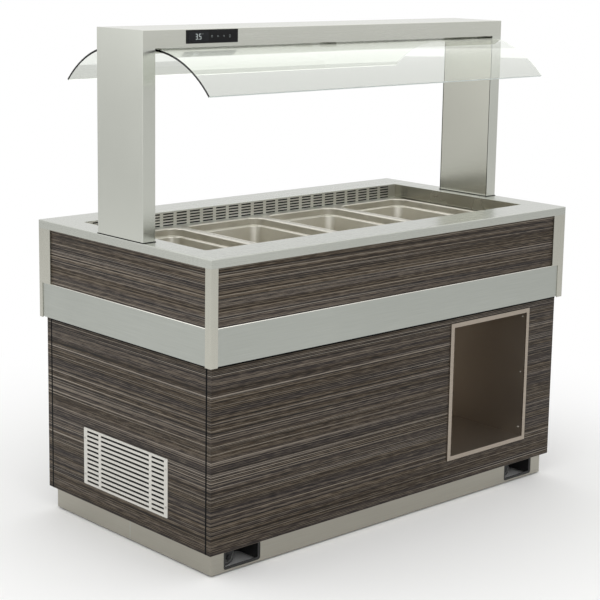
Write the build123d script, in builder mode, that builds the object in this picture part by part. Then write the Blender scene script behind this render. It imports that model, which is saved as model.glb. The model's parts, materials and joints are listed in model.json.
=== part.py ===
from build123d import *
import os

os.makedirs("parts", exist_ok=True)

# A refrigerated buffet display case on casters. Millimetres, X along its length, the guests' side
# at -Y, Z up, origin on the floor under its middle.

# Pans and the well opening
PAN_COUNT = 4
PAN_WIDTH = 325.0           # along X, a full size gastronorm pan
PAN_LENGTH = 530.0          # along Y
PAN_DEPTH = 100.0
PAN_SHEET = 0.9
PAN_RIM = 12.5              # flat rim round the mouth
PAN_RIM_CORNER = 22.0
PAN_MOUTH_CORNER = 38.0
PAN_BEND = 3.5              # inside radius where the rim turns down
PAN_SHOULDER = 24.0         # stacking step below the rim
PAN_STEP = 7.0
PAN_STEP_ROUND = 4.0        # over the inner edge of the step
PAN_STEP_FOLD = 2.5         # in the corner above the step
PAN_DRAFT = 8.0             # inward lean of a wall from the step to the floor
PAN_FLOOR_RADIUS = 14.0
PAN_GAP = 8.0               # between two rims
PAN_SIDE_MARGIN = 8.0       # last rim to the end of the opening
PAN_END_MARGIN = 25.0       # rim to the long side of the opening
PAN_DROP = 46.0             # rim below the worktop
PAN_REST = 7.0              # rim width that lies on its rail

# Worktop and upper body
SURROUND_X = 80.0           # opening to the end of the worktop
SURROUND_Y = 120.0          # opening to the long edge of the worktop
WORKTOP_HEIGHT = 910.0
WORKTOP_SHEET = 2.0
OPENING_ROLL = 1.5
LIP_HEIGHT = 25.0
FOLD_RADIUS = 2.5
OPENING_CORNER = 6.0
UPPER_REVEAL = 167.0        # laminate between the lip and the steel band
UPPER_RECESS = 5.0          # worktop edge to the upper boards
TUB_GAP = 15.0              # upper boards to the tub
BAND_HEIGHT = 104.0
BAND_SHEET = 1.5
POST_SIZE = 25.0
POST_SHEET = 2.0
POST_OVERHANG = 3.0         # post below the band
LAPPED_POST_X = 57.0        # legs of the front right and rear left posts
LAPPED_POST_Y = 60.0
LAPPED_STRIP_X = 28.0       # what the bands leave of those legs
LAPPED_STRIP_Y = 18.0
BOARD = 18.0                # laminated board

# Tub
CASING_SHEET = 1.0
LINER_SHEET = 1.2
FOAM_FLOOR = 37.0
AIR_DUCT = 40.0             # behind each air wall
AIR_WALL = 1.2
EVAPORATOR_SPACE = 114.0    # pan floor to well floor
RAIL_SHEET = 1.5
RAIL_RETURN = 14.0
DIVIDER_WIDTH = 20.0
AIR_ROWS = 5
AIR_ROW_PITCH = 9.0
AIR_COLUMNS = 24
AIR_COLUMN_PITCH = 53.5
AIR_SLOT_LENGTH = 41.0
AIR_SLOT_HEIGHT = 4.6
AIR_TOP_MARGIN = 5.5        # worktop underside to the middle of the first row
AIR_PORT_COUNT = 4
AIR_PORT_HEIGHT = 60.0
AIR_PORT_WIDTH = 250.0
AIR_PORT_PITCH = 310.0
AIR_PORT_SILL = 20.0

# Lower body
LOWER_SETBACK = 17.0
PANEL_JOINT = 3.0           # open joint beside an end panel
PLINTH_GAP = 4.0
PLINTH_REVEAL = 67.0
PLINTH_SHEET = 1.5
CUTOUT_WIDTH = 136.0
CUTOUT_INSET = 45.5         # plinth end to the cut-out
CUTOUT_SILL = 6.0
CUTOUT_HIDDEN = 15.0        # part of the cut-out behind the panel
CUTOUT_CORNER = 8.0
ANGLE = 30.0                # welded steel angle of the frame
ANGLE_SHEET = 3.0
FLOOR_SHEET = 1.5

# Casters
WHEEL_DIAMETER = 55.0
WHEEL_WIDTH = 22.0
WHEEL_CORE = 40.0           # diameter under the tyre
HUB_DIAMETER = 20.0
HUB_GAP = 1.0               # hub to fork cheek
TYRE_EDGE = 4.0
WEB_WIDTH = 12.0
CASTER_TRAIL = 20.0
FORK_SHEET = 3.0
FORK_CROWN = 40.0           # length of the fork's crown
FORK_LUG = 10.0             # radius of the cheek round the axle
WHEEL_TOP_GAP = 24.0
SWIVEL_HEIGHT = 11.0
SWIVEL_RADIUS = 15.0
SWIVEL_GAP = 0.1
KING_PIN_RADIUS = 5.0
KING_PIN_HEAD = 8.0
AXLE_RADIUS = 4.0
AXLE_HEAD = 7.0
AXLE_HEAD_HEIGHT = 4.0
RUNNING_CLEARANCE = 0.05
CASTER_PLATE = 3.0
CASTER_PLATE_SIZE = 60.0
GUSSET_SHEET = 4.0
GUSSET_MARGIN = 10.0
SWIVEL_ROOM = 3.0           # turning wheel to the plinth

# Machine grille on the left end
GRILLE_WIDTH = 406.0
GRILLE_HEIGHT = 175.0
GRILLE_SILL = 59.0          # panel bottom to the grille
GRILLE_SHEET = 2.0
GRILLE_OVERLAP = 12.0       # grille over the panel at each side of the air hole
GRILLE_LAP = 6.0            # grille over the panel above and below it
GRILLE_CORNER = 3.0
GRILLE_ROWS = 12
GRILLE_PITCH = 14.0
GRILLE_SLOT = 6.5
GRILLE_SIDE_SLOT = 58.0
GRILLE_BRIDGE = 12.0
GRILLE_MARGIN = 16.0
GRILLE_SCREW_EDGE = 7.0
GRILLE_SCREW_SPACING = 112.0
SCREW_HEAD = 3.2
SCREW_HEAD_HEIGHT = 1.8
SCREW_SHANK = 1.7
SCREW_LENGTH = 14.0
SCREW_CLEARANCE = 0.05

# Plate niche in the front
NICHE_CENTRE = 415.0
NICHE_WIDTH = 348.0
NICHE_DEPTH = 330.0
NICHE_SILL = 75.0           # panel bottom to the trim
NICHE_HEADROOM = 24.0       # trim to the band
NICHE_TRIM = 14.0
NICHE_TRIM_PROUD = 4.0
NICHE_SHEET = 1.2
NICHE_FIT = 0.8
NICHE_CORNER = 2.0

# Portal
COLUMN_THICK = 43.0         # along X
COLUMN_INSET = 3.0          # from the end of the worktop to the column
COLUMN_DEPTH = 214.0        # along Y
CANOPY_HEIGHT = 50.0
TOTAL_HEIGHT = 1500.0
PORTAL_SHEET = 1.5
COLUMN_BEND = 1.2
COVER_GAP = 2.5             # open joint beside a column cover
FOOT_PLATE = 5.0
LAMP_LENGTH = 1200.0
LAMP_WIDTH = 46.0
LAMP_FLANGE = 8.0
LAMP_FLANGE_SHEET = 2.0
LAMP_FIT = 0.4

# Control panel in the canopy's front face
PANEL_WIDTH = 188.0
PANEL_HEIGHT = 38.0
PANEL_TOP_MARGIN = 2.5
PANEL_INSET = 154.0         # end of the canopy to the control panel
PANEL_PROUD = 1.5
PANEL_BODY_EDGE = 5.0       # panel edge to the housing behind it
PANEL_BODY_DEPTH = 34.0
PANEL_FIT = 0.4
PANEL_CORNER = 1.5

# Curved glass
GLASS = 6.0
GLASS_SIDE_GAP = 10.0       # pane to column
GLASS_TAIL = 48.0           # inner edge of the flat tail from the middle
GLASS_BEND_START = 80.0
GLASS_RADIUS = 337.0
GLASS_SWEEP = 48.0          # degrees
GLASS_PAD = 3.0
CLAMP_LENGTH = 34.0
CLAMP_THICK = 8.0
CLAMP_RISER = 11.0
CLAMP_REACH = 26.0          # clamp jaw under the glass
CLAMP_END = 4.0             # end of the pane to its last clamp
CLAMP_FIT = 0.5

# Cooling machine
TUBE_RADIUS = 5.0
TUBE_BEND = 22.0
TUBE_CLEARANCE = 0.5
COIL_LENGTH = 1040.0
COIL_DEPTH = 110.0
COIL_HEIGHT = 84.0
COIL_OFFSET = 100.0         # coil from the middle, toward the rear
COIL_BASE = 8.0
FIN_PITCH = 22.0
FIN_GAP = 14.0
DECK_OFFSET = -40.0
DECK_SHEET = 2.0
DECK_LENGTH = 1040.0
DECK_HEIGHT = 98.0
DECK_FOOT = 24.0
DECK_HOLE = 46.0
FAN_SPACING = 520.0
FAN_RADIUS = 42.0
FAN_HUB = 18.0
FAN_WIDTH = 22.0
FAN_BLADES = 5
FAN_BLADE_PITCH = 32.0      # degrees
FAN_BLADE = 2.0
FAN_SHAFT = 3.0
FAN_GAP = 2.0               # hub to motor
FAN_MOTOR_RADIUS = 19.0
FAN_MOTOR_LENGTH = 34.0
FAN_BRACKET = 8.0
CONDENSER_DEPTH = 60.0
CONDENSER_WIDTH = 380.0
CONDENSER_HEIGHT = 220.0
CONDENSER_GAP = 12.0        # chassis to the condenser
SHROUD_SHEET = 3.0
SHROUD_RING = 22.0
CONDENSER_FAN_RADIUS = 98.0
CONDENSER_FAN_HUB = 26.0
CONDENSER_FAN_WIDTH = 24.0
CONDENSER_FAN_ROOM = 7.0    # blade tip to the shroud
CONDENSER_SHAFT = 4.0
CONDENSER_MOTOR_RADIUS = 38.0
CONDENSER_MOTOR_LENGTH = 60.0
MOTOR_STAND = 40.0
MOTOR_STAND_SHEET = 4.0
MOTOR_STAND_FOOT = 60.0
COMPRESSOR_SETBACK = 250.0  # condenser to the compressor's middle
COMPRESSOR_RADIUS = 80.0
COMPRESSOR_HEIGHT = 190.0
COMPRESSOR_DOME = 45.0
COMPRESSOR_FOOT_X = 200.0
COMPRESSOR_FOOT_Y = 150.0
COMPRESSOR_FOOT_SHEET = 4.0
MOUNT_RADIUS = 13.0
MOUNT_HEIGHT = 16.0
TERMINAL_BOX = 44.0
LINE_RISE = 40.0
LINE_LOOP = 110.0
BOX_X = -90.0               # electrical box
BOX_LENGTH = 130.0
BOX_DEPTH = 110.0
BOX_HEIGHT = 190.0
BOX_SHEET = 1.5
BOX_REAR_GAP = 20.0
DRAIN_X = 60.0
DRAIN_Y = 14.0
DRAIN_RADIUS = 16.0
DRAIN_BORE = 12.0
DRAIN_FLANGE = 26.0
DRAIN_FLANGE_SHEET = 2.0
DRAIN_DROP = 110.0          # tub underside to the outlet
DRAIN_CLEARANCE = 0.5
VALVE_RADIUS = 22.0
VALVE_HEIGHT = 44.0
VALVE_STEM = 4.0
VALVE_STEM_LENGTH = 16.0
LEVER_LENGTH = 80.0
LEVER_WIDTH = 16.0
LEVER_SHEET = 4.0
GLAND_X = -90.0
GLAND_BORE = 4.5
GLAND_THREAD = 8.0
GLAND_HEX = 11.0            # half the distance across its corners
GLAND_DOME = 9.5
GLAND_INSIDE = 14.0
GLAND_FLANGE = 6.0
GLAND_OUTSIDE = 16.0
GLAND_DROP = 18.0           # panel bottom down to the gland's axis

# Plan sizes that follow, as half widths
pan_pitch = PAN_WIDTH + PAN_GAP
opening_x = (PAN_COUNT * PAN_WIDTH + (PAN_COUNT - 1) * PAN_GAP) / 2 + PAN_SIDE_MARGIN
opening_y = PAN_LENGTH / 2 + PAN_END_MARGIN
body_x = opening_x + SURROUND_X
body_y = opening_y + SURROUND_Y
band_x = body_x - POST_SHEET
band_y = body_y - POST_SHEET
upper_x = body_x - UPPER_RECESS
upper_y = body_y - UPPER_RECESS
tub_x = upper_x - BOARD - TUB_GAP
tub_y = upper_y - BOARD - TUB_GAP
lower_x = body_x - LOWER_SETBACK
lower_y = body_y - LOWER_SETBACK
plinth_x = lower_x - BOARD
plinth_y = lower_y - BOARD
frame_x = plinth_x - PLINTH_SHEET
frame_y = plinth_y - PLINTH_SHEET
liner_y = opening_y + AIR_DUCT
rail_y = PAN_LENGTH / 2 - PAN_REST

# Heights that follow
worktop_underside = WORKTOP_HEIGHT - WORKTOP_SHEET
lip_bottom = WORKTOP_HEIGHT - LIP_HEIGHT
band_top = lip_bottom - UPPER_REVEAL
band_bottom = band_top - BAND_HEIGHT
panel_bottom = PLINTH_GAP + PLINTH_REVEAL
pan_rim_top = WORKTOP_HEIGHT - PAN_DROP
rail_top = pan_rim_top - PAN_SHEET
well_floor = pan_rim_top - PAN_DEPTH - EVAPORATOR_SPACE
foam_bottom = well_floor - LINER_SHEET - FOAM_FLOOR
tub_bottom = foam_bottom - CASING_SHEET
crown_bottom = WHEEL_DIAMETER + WHEEL_TOP_GAP
crown_top = crown_bottom + FORK_SHEET
plate_bottom = crown_top + SWIVEL_HEIGHT
gusset_bottom = plate_bottom + CASTER_PLATE
frame_bottom = gusset_bottom + GUSSET_SHEET
frame_lip_top = frame_bottom + ANGLE
floor_bottom = frame_bottom + ANGLE_SHEET
floor_top = floor_bottom + FLOOR_SHEET
canopy_bottom = TOTAL_HEIGHT - CANOPY_HEIGHT
glass_top = canopy_bottom - GLASS_PAD

# Places that follow
cutout_x = plinth_x - CUTOUT_INSET - CUTOUT_WIDTH / 2
caster_y = frame_y - CASTER_TRAIL - WHEEL_DIAMETER / 2 - SWIVEL_ROOM
coil_bottom = well_floor
fan_z = well_floor + DECK_HEIGHT / 2
deck_y = DECK_OFFSET
condenser_left = -frame_x + CONDENSER_GAP
condenser_x = condenser_left + CONDENSER_DEPTH
condenser_top = floor_top + CONDENSER_HEIGHT
condenser_fan_z = floor_top + CONDENSER_HEIGHT / 2
compressor_x = condenser_x + COMPRESSOR_SETBACK
compressor_foot = floor_top + MOUNT_HEIGHT
compressor_top = compressor_foot + COMPRESSOR_HEIGHT
line_supply_x = compressor_x + LINE_LOOP
line_return_x = line_supply_x + LINE_LOOP / 2
line_top = compressor_top + LINE_RISE
gland_z = panel_bottom - GLAND_DROP
SIDES = (-1, 1)


def write(part, name):
    """Label a finished piece and write it as its own file."""
    part.label = name
    export_step(part, f"parts/{name}.step")


def ring(half_x, half_y, width):
    """Draw a rectangular ring of an even width."""
    Rectangle(2 * half_x, 2 * half_y)
    Rectangle(2 * (half_x - width), 2 * (half_y - width), mode=Mode.SUBTRACT)


def corner_angles(half_x, half_y, leg, sheet, lapped_x=None, lapped_y=None):
    """Draw four angle sections, one in each corner of a rectangle. Two of them may have other legs."""
    for side_x in SIDES:
        for side_y in SIDES:
            lapped = side_x != side_y
            leg_x = lapped_x if lapped and lapped_x else leg
            leg_y = lapped_y if lapped and lapped_y else leg
            with Locations((side_x * (half_x - leg_x / 2), side_y * (half_y - leg_y / 2))):
                Rectangle(leg_x, leg_y)
            inside_x = side_x * (half_x - (leg_x + sheet) / 2)
            inside_y = side_y * (half_y - (leg_y + sheet) / 2)
            with Locations((inside_x, inside_y)):
                Rectangle(leg_x - sheet, leg_y - sheet, mode=Mode.SUBTRACT)


def mitred_long(half_x, half_y, width):
    """Draw the front and rear sides of a rectangular ring, mitred at its corners."""
    for side in SIDES:
        inner = side * (half_y - width)
        Polygon(
            (-half_x, side * half_y),
            (half_x, side * half_y),
            (half_x - width, inner),
            (width - half_x, inner),
        )


def mitred_ends(half_x, half_y, width):
    """Draw the two ends of a rectangular ring, mitred at its corners."""
    for side in SIDES:
        inner = side * (half_x - width)
        Polygon(
            (side * half_x, -half_y),
            (side * half_x, half_y),
            (inner, half_y - width),
            (inner, width - half_y),
        )


def open_tank(half_x, half_y, bottom, top, sheet):
    """An open tank of sheet metal."""
    with BuildPart() as tank:
        with BuildSketch(Plane.XY.offset(bottom)):
            Rectangle(2 * half_x, 2 * half_y)
        extrude(amount=top - bottom)
        with BuildSketch(Plane.XY.offset(bottom + sheet)):
            Rectangle(2 * (half_x - sheet), 2 * (half_y - sheet))
        extrude(amount=top - bottom - sheet, mode=Mode.SUBTRACT)
    return tank.part


def fan_rotor(hub_plane, radius, hub_radius, width, bore):
    """A fan rotor with a blind bore from the motor's side, its middle on the plane."""
    blade_length = radius - hub_radius + FAN_BLADE
    with BuildPart(hub_plane) as rotor:
        Cylinder(hub_radius, width)
        with PolarLocations(hub_radius - FAN_BLADE + blade_length / 2, FAN_BLADES):
            Box(blade_length, FAN_BLADE, width, rotation=(FAN_BLADE_PITCH, 0, 0))
        Cylinder(radius, width, mode=Mode.INTERSECT)
        Cylinder(bore, width, mode=Mode.SUBTRACT)
    return rotor.part


def fan_motor(face_plane, radius, length, shaft, shaft_length):
    """A motor behind the plane, with its shaft standing out of it."""
    behind = (Align.CENTER, Align.CENTER, Align.MAX)
    ahead = (Align.CENTER, Align.CENTER, Align.MIN)
    with BuildPart(face_plane) as motor:
        Cylinder(radius, length, align=behind)
        Cylinder(shaft, shaft_length, align=ahead)
    return motor.part


def bent_tube(points):
    """A refrigerant tube with tangent bends."""
    with BuildPart() as tube:
        with BuildLine() as route:
            FilletPolyline(*points, radius=TUBE_BEND)
        with BuildSketch(Plane(origin=route.line @ 0, z_dir=route.line % 0)):
            Circle(TUBE_RADIUS)
        sweep(path=route.line)
    return tube.part


# Chassis and plinth

with BuildPart() as chassis_frame:
    with BuildSketch(Plane.XY.offset(frame_bottom)):
        ring(frame_x, frame_y, ANGLE_SHEET)
    extrude(amount=ANGLE)
    with BuildSketch(Plane.XY.offset(frame_bottom)):
        ring(frame_x, frame_y, ANGLE)
    extrude(amount=ANGLE_SHEET)
    with BuildSketch(Plane.XY.offset(tub_bottom - ANGLE)):
        ring(frame_x, frame_y, ANGLE_SHEET)
    extrude(amount=ANGLE)
    with BuildSketch(Plane.XY.offset(tub_bottom - ANGLE_SHEET)):
        ring(frame_x, frame_y, ANGLE)
    extrude(amount=ANGLE_SHEET)
    with BuildSketch(Plane.XY.offset(frame_bottom)):
        corner_angles(frame_x, frame_y, ANGLE, ANGLE_SHEET)
    extrude(amount=tub_bottom - frame_bottom)
    gusset_x = frame_x - cutout_x + CASTER_PLATE_SIZE / 2 + GUSSET_MARGIN
    gusset_y = frame_y - caster_y + CASTER_PLATE_SIZE / 2 + GUSSET_MARGIN
    with BuildSketch(Plane.XY.offset(gusset_bottom)):
        with GridLocations(2 * frame_x - gusset_x, 2 * frame_y - gusset_y, 2, 2):
            Rectangle(gusset_x, gusset_y)
    extrude(amount=GUSSET_SHEET)
write(chassis_frame.part, "chassis_frame")

with BuildPart() as machine_floor:
    with BuildSketch(Plane.XY.offset(floor_bottom)):
        Rectangle(2 * (frame_x - ANGLE_SHEET), 2 * (frame_y - ANGLE_SHEET))
    extrude(amount=FLOOR_SHEET)
write(machine_floor.part, "machine_floor")

cutout_bottom = PLINTH_GAP + CUTOUT_SILL
cutout_top = panel_bottom + CUTOUT_HIDDEN
with BuildPart() as plinth_sides:
    with BuildSketch(Plane.XY.offset(PLINTH_GAP)):
        with GridLocations(0, 2 * plinth_y - PLINTH_SHEET, 1, 2):
            Rectangle(2 * plinth_x, PLINTH_SHEET)
    extrude(amount=frame_lip_top - PLINTH_GAP)
    with BuildSketch(Plane.XZ.offset(plinth_y)):
        for side in SIDES:
            with Locations((side * cutout_x, (cutout_bottom + cutout_top) / 2)):
                RectangleRounded(CUTOUT_WIDTH, cutout_top - cutout_bottom, CUTOUT_CORNER)
    extrude(amount=-2 * plinth_y, mode=Mode.SUBTRACT)
    with BuildSketch(Plane.XZ.offset(-plinth_y)):
        with Locations((GLAND_X, gland_z)):
            Circle(GLAND_THREAD)
    extrude(amount=PLINTH_SHEET, mode=Mode.SUBTRACT)
write(plinth_sides.part, "plinth_sides")

with BuildPart() as plinth_ends:
    with BuildSketch(Plane.XY.offset(PLINTH_GAP)):
        with GridLocations(2 * plinth_x - PLINTH_SHEET, 0, 2, 1):
            Rectangle(PLINTH_SHEET, 2 * frame_y)
    extrude(amount=frame_lip_top - PLINTH_GAP)
write(plinth_ends.part, "plinth_ends")

# Casters: plates with king pins stay on the chassis, forks swivel on them, wheels turn on axles

CASTERS = (
    ("front_left", -1, -1),
    ("front_right", 1, -1),
    ("rear_left", -1, 1),
    ("rear_right", 1, 1),
)
pin_head_top = crown_bottom - SWIVEL_GAP

with BuildPart() as caster_plates:
    caster_places = GridLocations(2 * cutout_x, 2 * caster_y, 2, 2)
    with BuildSketch(Plane.XY.offset(plate_bottom)):
        with caster_places:
            RectangleRounded(CASTER_PLATE_SIZE, CASTER_PLATE_SIZE, FORK_SHEET)
    extrude(amount=CASTER_PLATE)
    with BuildSketch(Plane.XY.offset(plate_bottom)):
        with caster_places:
            Circle(SWIVEL_RADIUS)
    extrude(amount=SWIVEL_GAP - SWIVEL_HEIGHT)
    with BuildSketch(Plane.XY.offset(plate_bottom)):
        with caster_places:
            Circle(KING_PIN_RADIUS)
    extrude(amount=pin_head_top - plate_bottom)
    with BuildSketch(Plane.XY.offset(pin_head_top)):
        with caster_places:
            Circle(KING_PIN_HEAD)
    extrude(amount=-FORK_SHEET)
write(caster_plates.part, "caster_plates")

cheek_inside = WHEEL_WIDTH / 2 + HUB_GAP
cheek_outside = cheek_inside + FORK_SHEET
axle_z = WHEEL_DIAMETER / 2

for caster_name, side_x, side_y in CASTERS:
    pivot_x = side_x * cutout_x
    pivot_y = side_y * caster_y
    wheel_x = pivot_x - CASTER_TRAIL
    axle_plane = Plane(origin=(wheel_x, pivot_y, axle_z), x_dir=(1, 0, 0), z_dir=(0, -1, 0))

    with BuildPart() as fork:
        with BuildSketch(Plane.XZ.offset(-pivot_y)):
            with Locations((wheel_x, axle_z)):
                Circle(FORK_LUG)
            with Locations((pivot_x, crown_top - FORK_SHEET / 2)):
                Rectangle(FORK_CROWN, FORK_SHEET)
            make_hull()
        extrude(amount=cheek_outside, both=True)
        with BuildSketch(Plane.XY):
            with Locations((pivot_x, pivot_y)):
                Rectangle(4 * WHEEL_DIAMETER, 2 * cheek_inside)
        extrude(amount=crown_bottom, mode=Mode.SUBTRACT)
        with BuildSketch(Plane.XY.offset(crown_top)):
            with Locations((pivot_x, pivot_y)):
                Circle(KING_PIN_RADIUS + RUNNING_CLEARANCE)
        extrude(amount=-2 * FORK_SHEET, mode=Mode.SUBTRACT)
        with BuildSketch(axle_plane):
            Circle(AXLE_RADIUS)
        extrude(amount=cheek_outside, both=True, mode=Mode.SUBTRACT)
    with BuildPart() as axle:
        with BuildSketch(axle_plane):
            Circle(AXLE_RADIUS)
        extrude(amount=cheek_outside, both=True)
        for turn in SIDES:
            with BuildSketch(axle_plane.offset(turn * cheek_outside)):
                RegularPolygon(AXLE_HEAD, 6)
            extrude(amount=turn * AXLE_HEAD_HEIGHT)
    write(Compound(children=[fork.part, axle.part]), f"caster_fork_{caster_name}")

    with BuildPart() as core:
        with BuildSketch(axle_plane):
            Circle(WHEEL_CORE / 2)
        extrude(amount=WEB_WIDTH / 2, both=True)
        with BuildSketch(axle_plane):
            Circle(HUB_DIAMETER / 2)
        extrude(amount=WHEEL_WIDTH / 2, both=True)
        with BuildSketch(axle_plane):
            Circle(AXLE_RADIUS + RUNNING_CLEARANCE)
        extrude(amount=WHEEL_WIDTH, both=True, mode=Mode.SUBTRACT)
    with BuildPart() as tyre:
        with BuildSketch(axle_plane):
            Circle(WHEEL_DIAMETER / 2)
        extrude(amount=WHEEL_WIDTH / 2, both=True)
        fillet(tyre.edges().filter_by(GeomType.CIRCLE), TYRE_EDGE)
        with BuildSketch(axle_plane):
            Circle(WHEEL_CORE / 2)
        extrude(amount=WHEEL_WIDTH, both=True, mode=Mode.SUBTRACT)
    write(Compound(children=[core.part, tyre.part]), f"caster_wheel_{caster_name}")

# Lower body panels, plate niche and machine grille

panel_middle = (panel_bottom + band_bottom) / 2
panel_height = band_bottom - panel_bottom
niche_bottom = panel_bottom + NICHE_SILL
niche_top = band_bottom - NICHE_HEADROOM
niche_middle = (niche_bottom + niche_top) / 2
niche_height = niche_top - niche_bottom - 2 * NICHE_TRIM

with BuildPart() as front_panel:
    with BuildSketch(Plane.XZ.offset(lower_y)):
        with Locations((0, panel_middle)):
            Rectangle(2 * lower_x, panel_height)
        with Locations((NICHE_CENTRE, niche_middle)):
            cut = 2 * (NICHE_SHEET + NICHE_FIT)
            Rectangle(NICHE_WIDTH + cut, niche_height + cut, mode=Mode.SUBTRACT)
    extrude(amount=-BOARD)
write(front_panel.part, "front_panel")

with BuildPart() as rear_panel:
    with BuildSketch(Plane.XZ.offset(-lower_y)):
        with Locations((0, panel_middle)):
            Rectangle(2 * lower_x, panel_height)
    extrude(amount=BOARD)
write(rear_panel.part, "rear_panel")

end_panel_width = 2 * (lower_y - BOARD - PANEL_JOINT)
grille_middle = panel_bottom + GRILLE_SILL + GRILLE_HEIGHT / 2
screw_span = GRILLE_WIDTH - 2 * GRILLE_SCREW_EDGE


def screw_circles(radius, mode=Mode.ADD):
    """Draw a circle at each screw of the machine grille."""
    with Locations((0, grille_middle)):
        with GridLocations(screw_span, GRILLE_SCREW_SPACING, 2, 2):
            Circle(radius, mode=mode)


with BuildPart() as left_panel:
    with BuildSketch(Plane.YZ.offset(-lower_x)):
        with Locations((0, panel_middle)):
            Rectangle(end_panel_width, panel_height)
        with Locations((0, grille_middle)):
            hole_width = GRILLE_WIDTH - 2 * GRILLE_OVERLAP
            Rectangle(hole_width, GRILLE_HEIGHT - 2 * GRILLE_LAP, mode=Mode.SUBTRACT)
        screw_circles(SCREW_SHANK + SCREW_CLEARANCE, Mode.SUBTRACT)
    extrude(amount=BOARD)
write(left_panel.part, "left_panel")

with BuildPart() as right_panel:
    with BuildSketch(Plane.YZ.offset(lower_x)):
        with Locations((0, panel_middle)):
            Rectangle(end_panel_width, panel_height)
    extrude(amount=-BOARD)
write(right_panel.part, "right_panel")

slot_middle = GRILLE_WIDTH - 2 * (GRILLE_MARGIN + GRILLE_SIDE_SLOT + GRILLE_BRIDGE)
slot_side_offset = (GRILLE_WIDTH - GRILLE_SIDE_SLOT) / 2 - GRILLE_MARGIN
with BuildPart() as machine_grille:
    with BuildSketch(Plane.YZ.offset(-lower_x)):
        with Locations((0, grille_middle)):
            RectangleRounded(GRILLE_WIDTH, GRILLE_HEIGHT, GRILLE_CORNER)
            with GridLocations(0, GRILLE_PITCH, 1, GRILLE_ROWS):
                Rectangle(slot_middle, GRILLE_SLOT, mode=Mode.SUBTRACT)
            with GridLocations(2 * slot_side_offset, GRILLE_PITCH, 2, GRILLE_ROWS):
                Rectangle(GRILLE_SIDE_SLOT, GRILLE_SLOT, mode=Mode.SUBTRACT)
        screw_circles(SCREW_SHANK + SCREW_CLEARANCE, Mode.SUBTRACT)
    extrude(amount=-GRILLE_SHEET)
write(machine_grille.part, "machine_grille")

with BuildPart() as grille_screws:
    with BuildSketch(Plane.YZ.offset(-lower_x - GRILLE_SHEET)):
        screw_circles(SCREW_HEAD)
    extrude(amount=-SCREW_HEAD_HEIGHT)
    fillet(grille_screws.faces().group_by(Axis.X)[0].edges(), SCREW_HEAD_HEIGHT / 2)
    with BuildSketch(Plane.YZ.offset(-lower_x - GRILLE_SHEET)):
        screw_circles(SCREW_SHANK)
    extrude(amount=SCREW_LENGTH)
write(grille_screws.part, "grille_screws")

with BuildPart() as niche_liner:
    with BuildSketch(Plane.XZ.offset(lower_y)):
        with Locations((NICHE_CENTRE, niche_middle)):
            Rectangle(NICHE_WIDTH + 2 * NICHE_SHEET, niche_height + 2 * NICHE_SHEET)
    extrude(amount=-NICHE_DEPTH - NICHE_SHEET)
    with BuildSketch(Plane.XZ.offset(lower_y)):
        with Locations((NICHE_CENTRE, niche_middle)):
            Rectangle(NICHE_WIDTH, niche_height)
    extrude(amount=-NICHE_DEPTH, mode=Mode.SUBTRACT)
write(niche_liner.part, "niche_liner")

with BuildPart() as niche_trim:
    with BuildSketch(Plane.XZ.offset(lower_y)):
        with Locations((NICHE_CENTRE, niche_middle)):
            trim_width = NICHE_WIDTH + 2 * NICHE_TRIM
            trim_height = niche_height + 2 * NICHE_TRIM
            RectangleRounded(trim_width, trim_height, NICHE_CORNER)
            Rectangle(NICHE_WIDTH, niche_height, mode=Mode.SUBTRACT)
    extrude(amount=NICHE_TRIM_PROUD)
    fillet(niche_trim.faces().sort_by(Axis.Y)[0].outer_wire().edges(), NICHE_SHEET)
write(niche_trim.part, "niche_trim")

# Upper body: worktop, posts, bands and recessed laminate

with BuildPart() as worktop:
    with BuildSketch(Plane.XY.offset(lip_bottom)):
        Rectangle(2 * body_x, 2 * body_y)
    extrude(amount=LIP_HEIGHT)
    fillet(worktop.edges().filter_by(Axis.Z), FOLD_RADIUS)
    fillet(worktop.faces().sort_by(Axis.Z)[-1].edges(), FOLD_RADIUS)
    with BuildSketch(Plane.XY.offset(lip_bottom)):
        Rectangle(2 * (body_x - WORKTOP_SHEET), 2 * (body_y - WORKTOP_SHEET))
    extrude(amount=LIP_HEIGHT - WORKTOP_SHEET, mode=Mode.SUBTRACT)
    with BuildSketch(Plane.XY.offset(worktop_underside)):
        RectangleRounded(2 * opening_x, 2 * opening_y, OPENING_CORNER)
    extrude(amount=WORKTOP_SHEET, mode=Mode.SUBTRACT)
    fillet(worktop.faces().sort_by(Axis.Z)[-1].inner_wires()[0].edges(), OPENING_ROLL)
write(worktop.part, "worktop")

with BuildPart() as corner_posts:
    with BuildSketch(Plane.XY.offset(band_bottom - POST_OVERHANG)):
        corner_angles(body_x, body_y, POST_SIZE, POST_SHEET, LAPPED_STRIP_X, LAPPED_STRIP_Y)
    extrude(amount=BAND_HEIGHT + POST_OVERHANG)
    with BuildSketch(Plane.XY.offset(band_top)):
        corner_angles(body_x, body_y, POST_SIZE, POST_SHEET, LAPPED_POST_X, LAPPED_POST_Y)
    extrude(amount=lip_bottom - band_top)
    outer_edges = corner_posts.edges().filter_by(Axis.Z).filter_by(
        lambda edge: abs(edge.center().X) > band_x and abs(edge.center().Y) > band_y
    )
    fillet(outer_edges, FOLD_RADIUS)
    post_return = UPPER_RECESS - POST_SHEET
    with BuildSketch(Plane.XY.offset(band_top)):
        for along, across, lapped_leg in (
            (body_x, body_y, LAPPED_POST_X),
            (body_y, body_x, LAPPED_POST_Y),
        ):
            turned = along != body_x
            for side_x in SIDES:
                for side_y in SIDES:
                    leg = POST_SIZE if side_x == side_y else lapped_leg
                    inner = side_x * (along - leg + POST_SHEET / 2)
                    outer = side_y * (across - POST_SHEET - post_return / 2)
                    with Locations((outer, inner) if turned else (inner, outer)):
                        Rectangle(POST_SHEET, post_return, rotation=90 if turned else 0)
    extrude(amount=lip_bottom - band_top)
write(corner_posts.part, "corner_posts")

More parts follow.
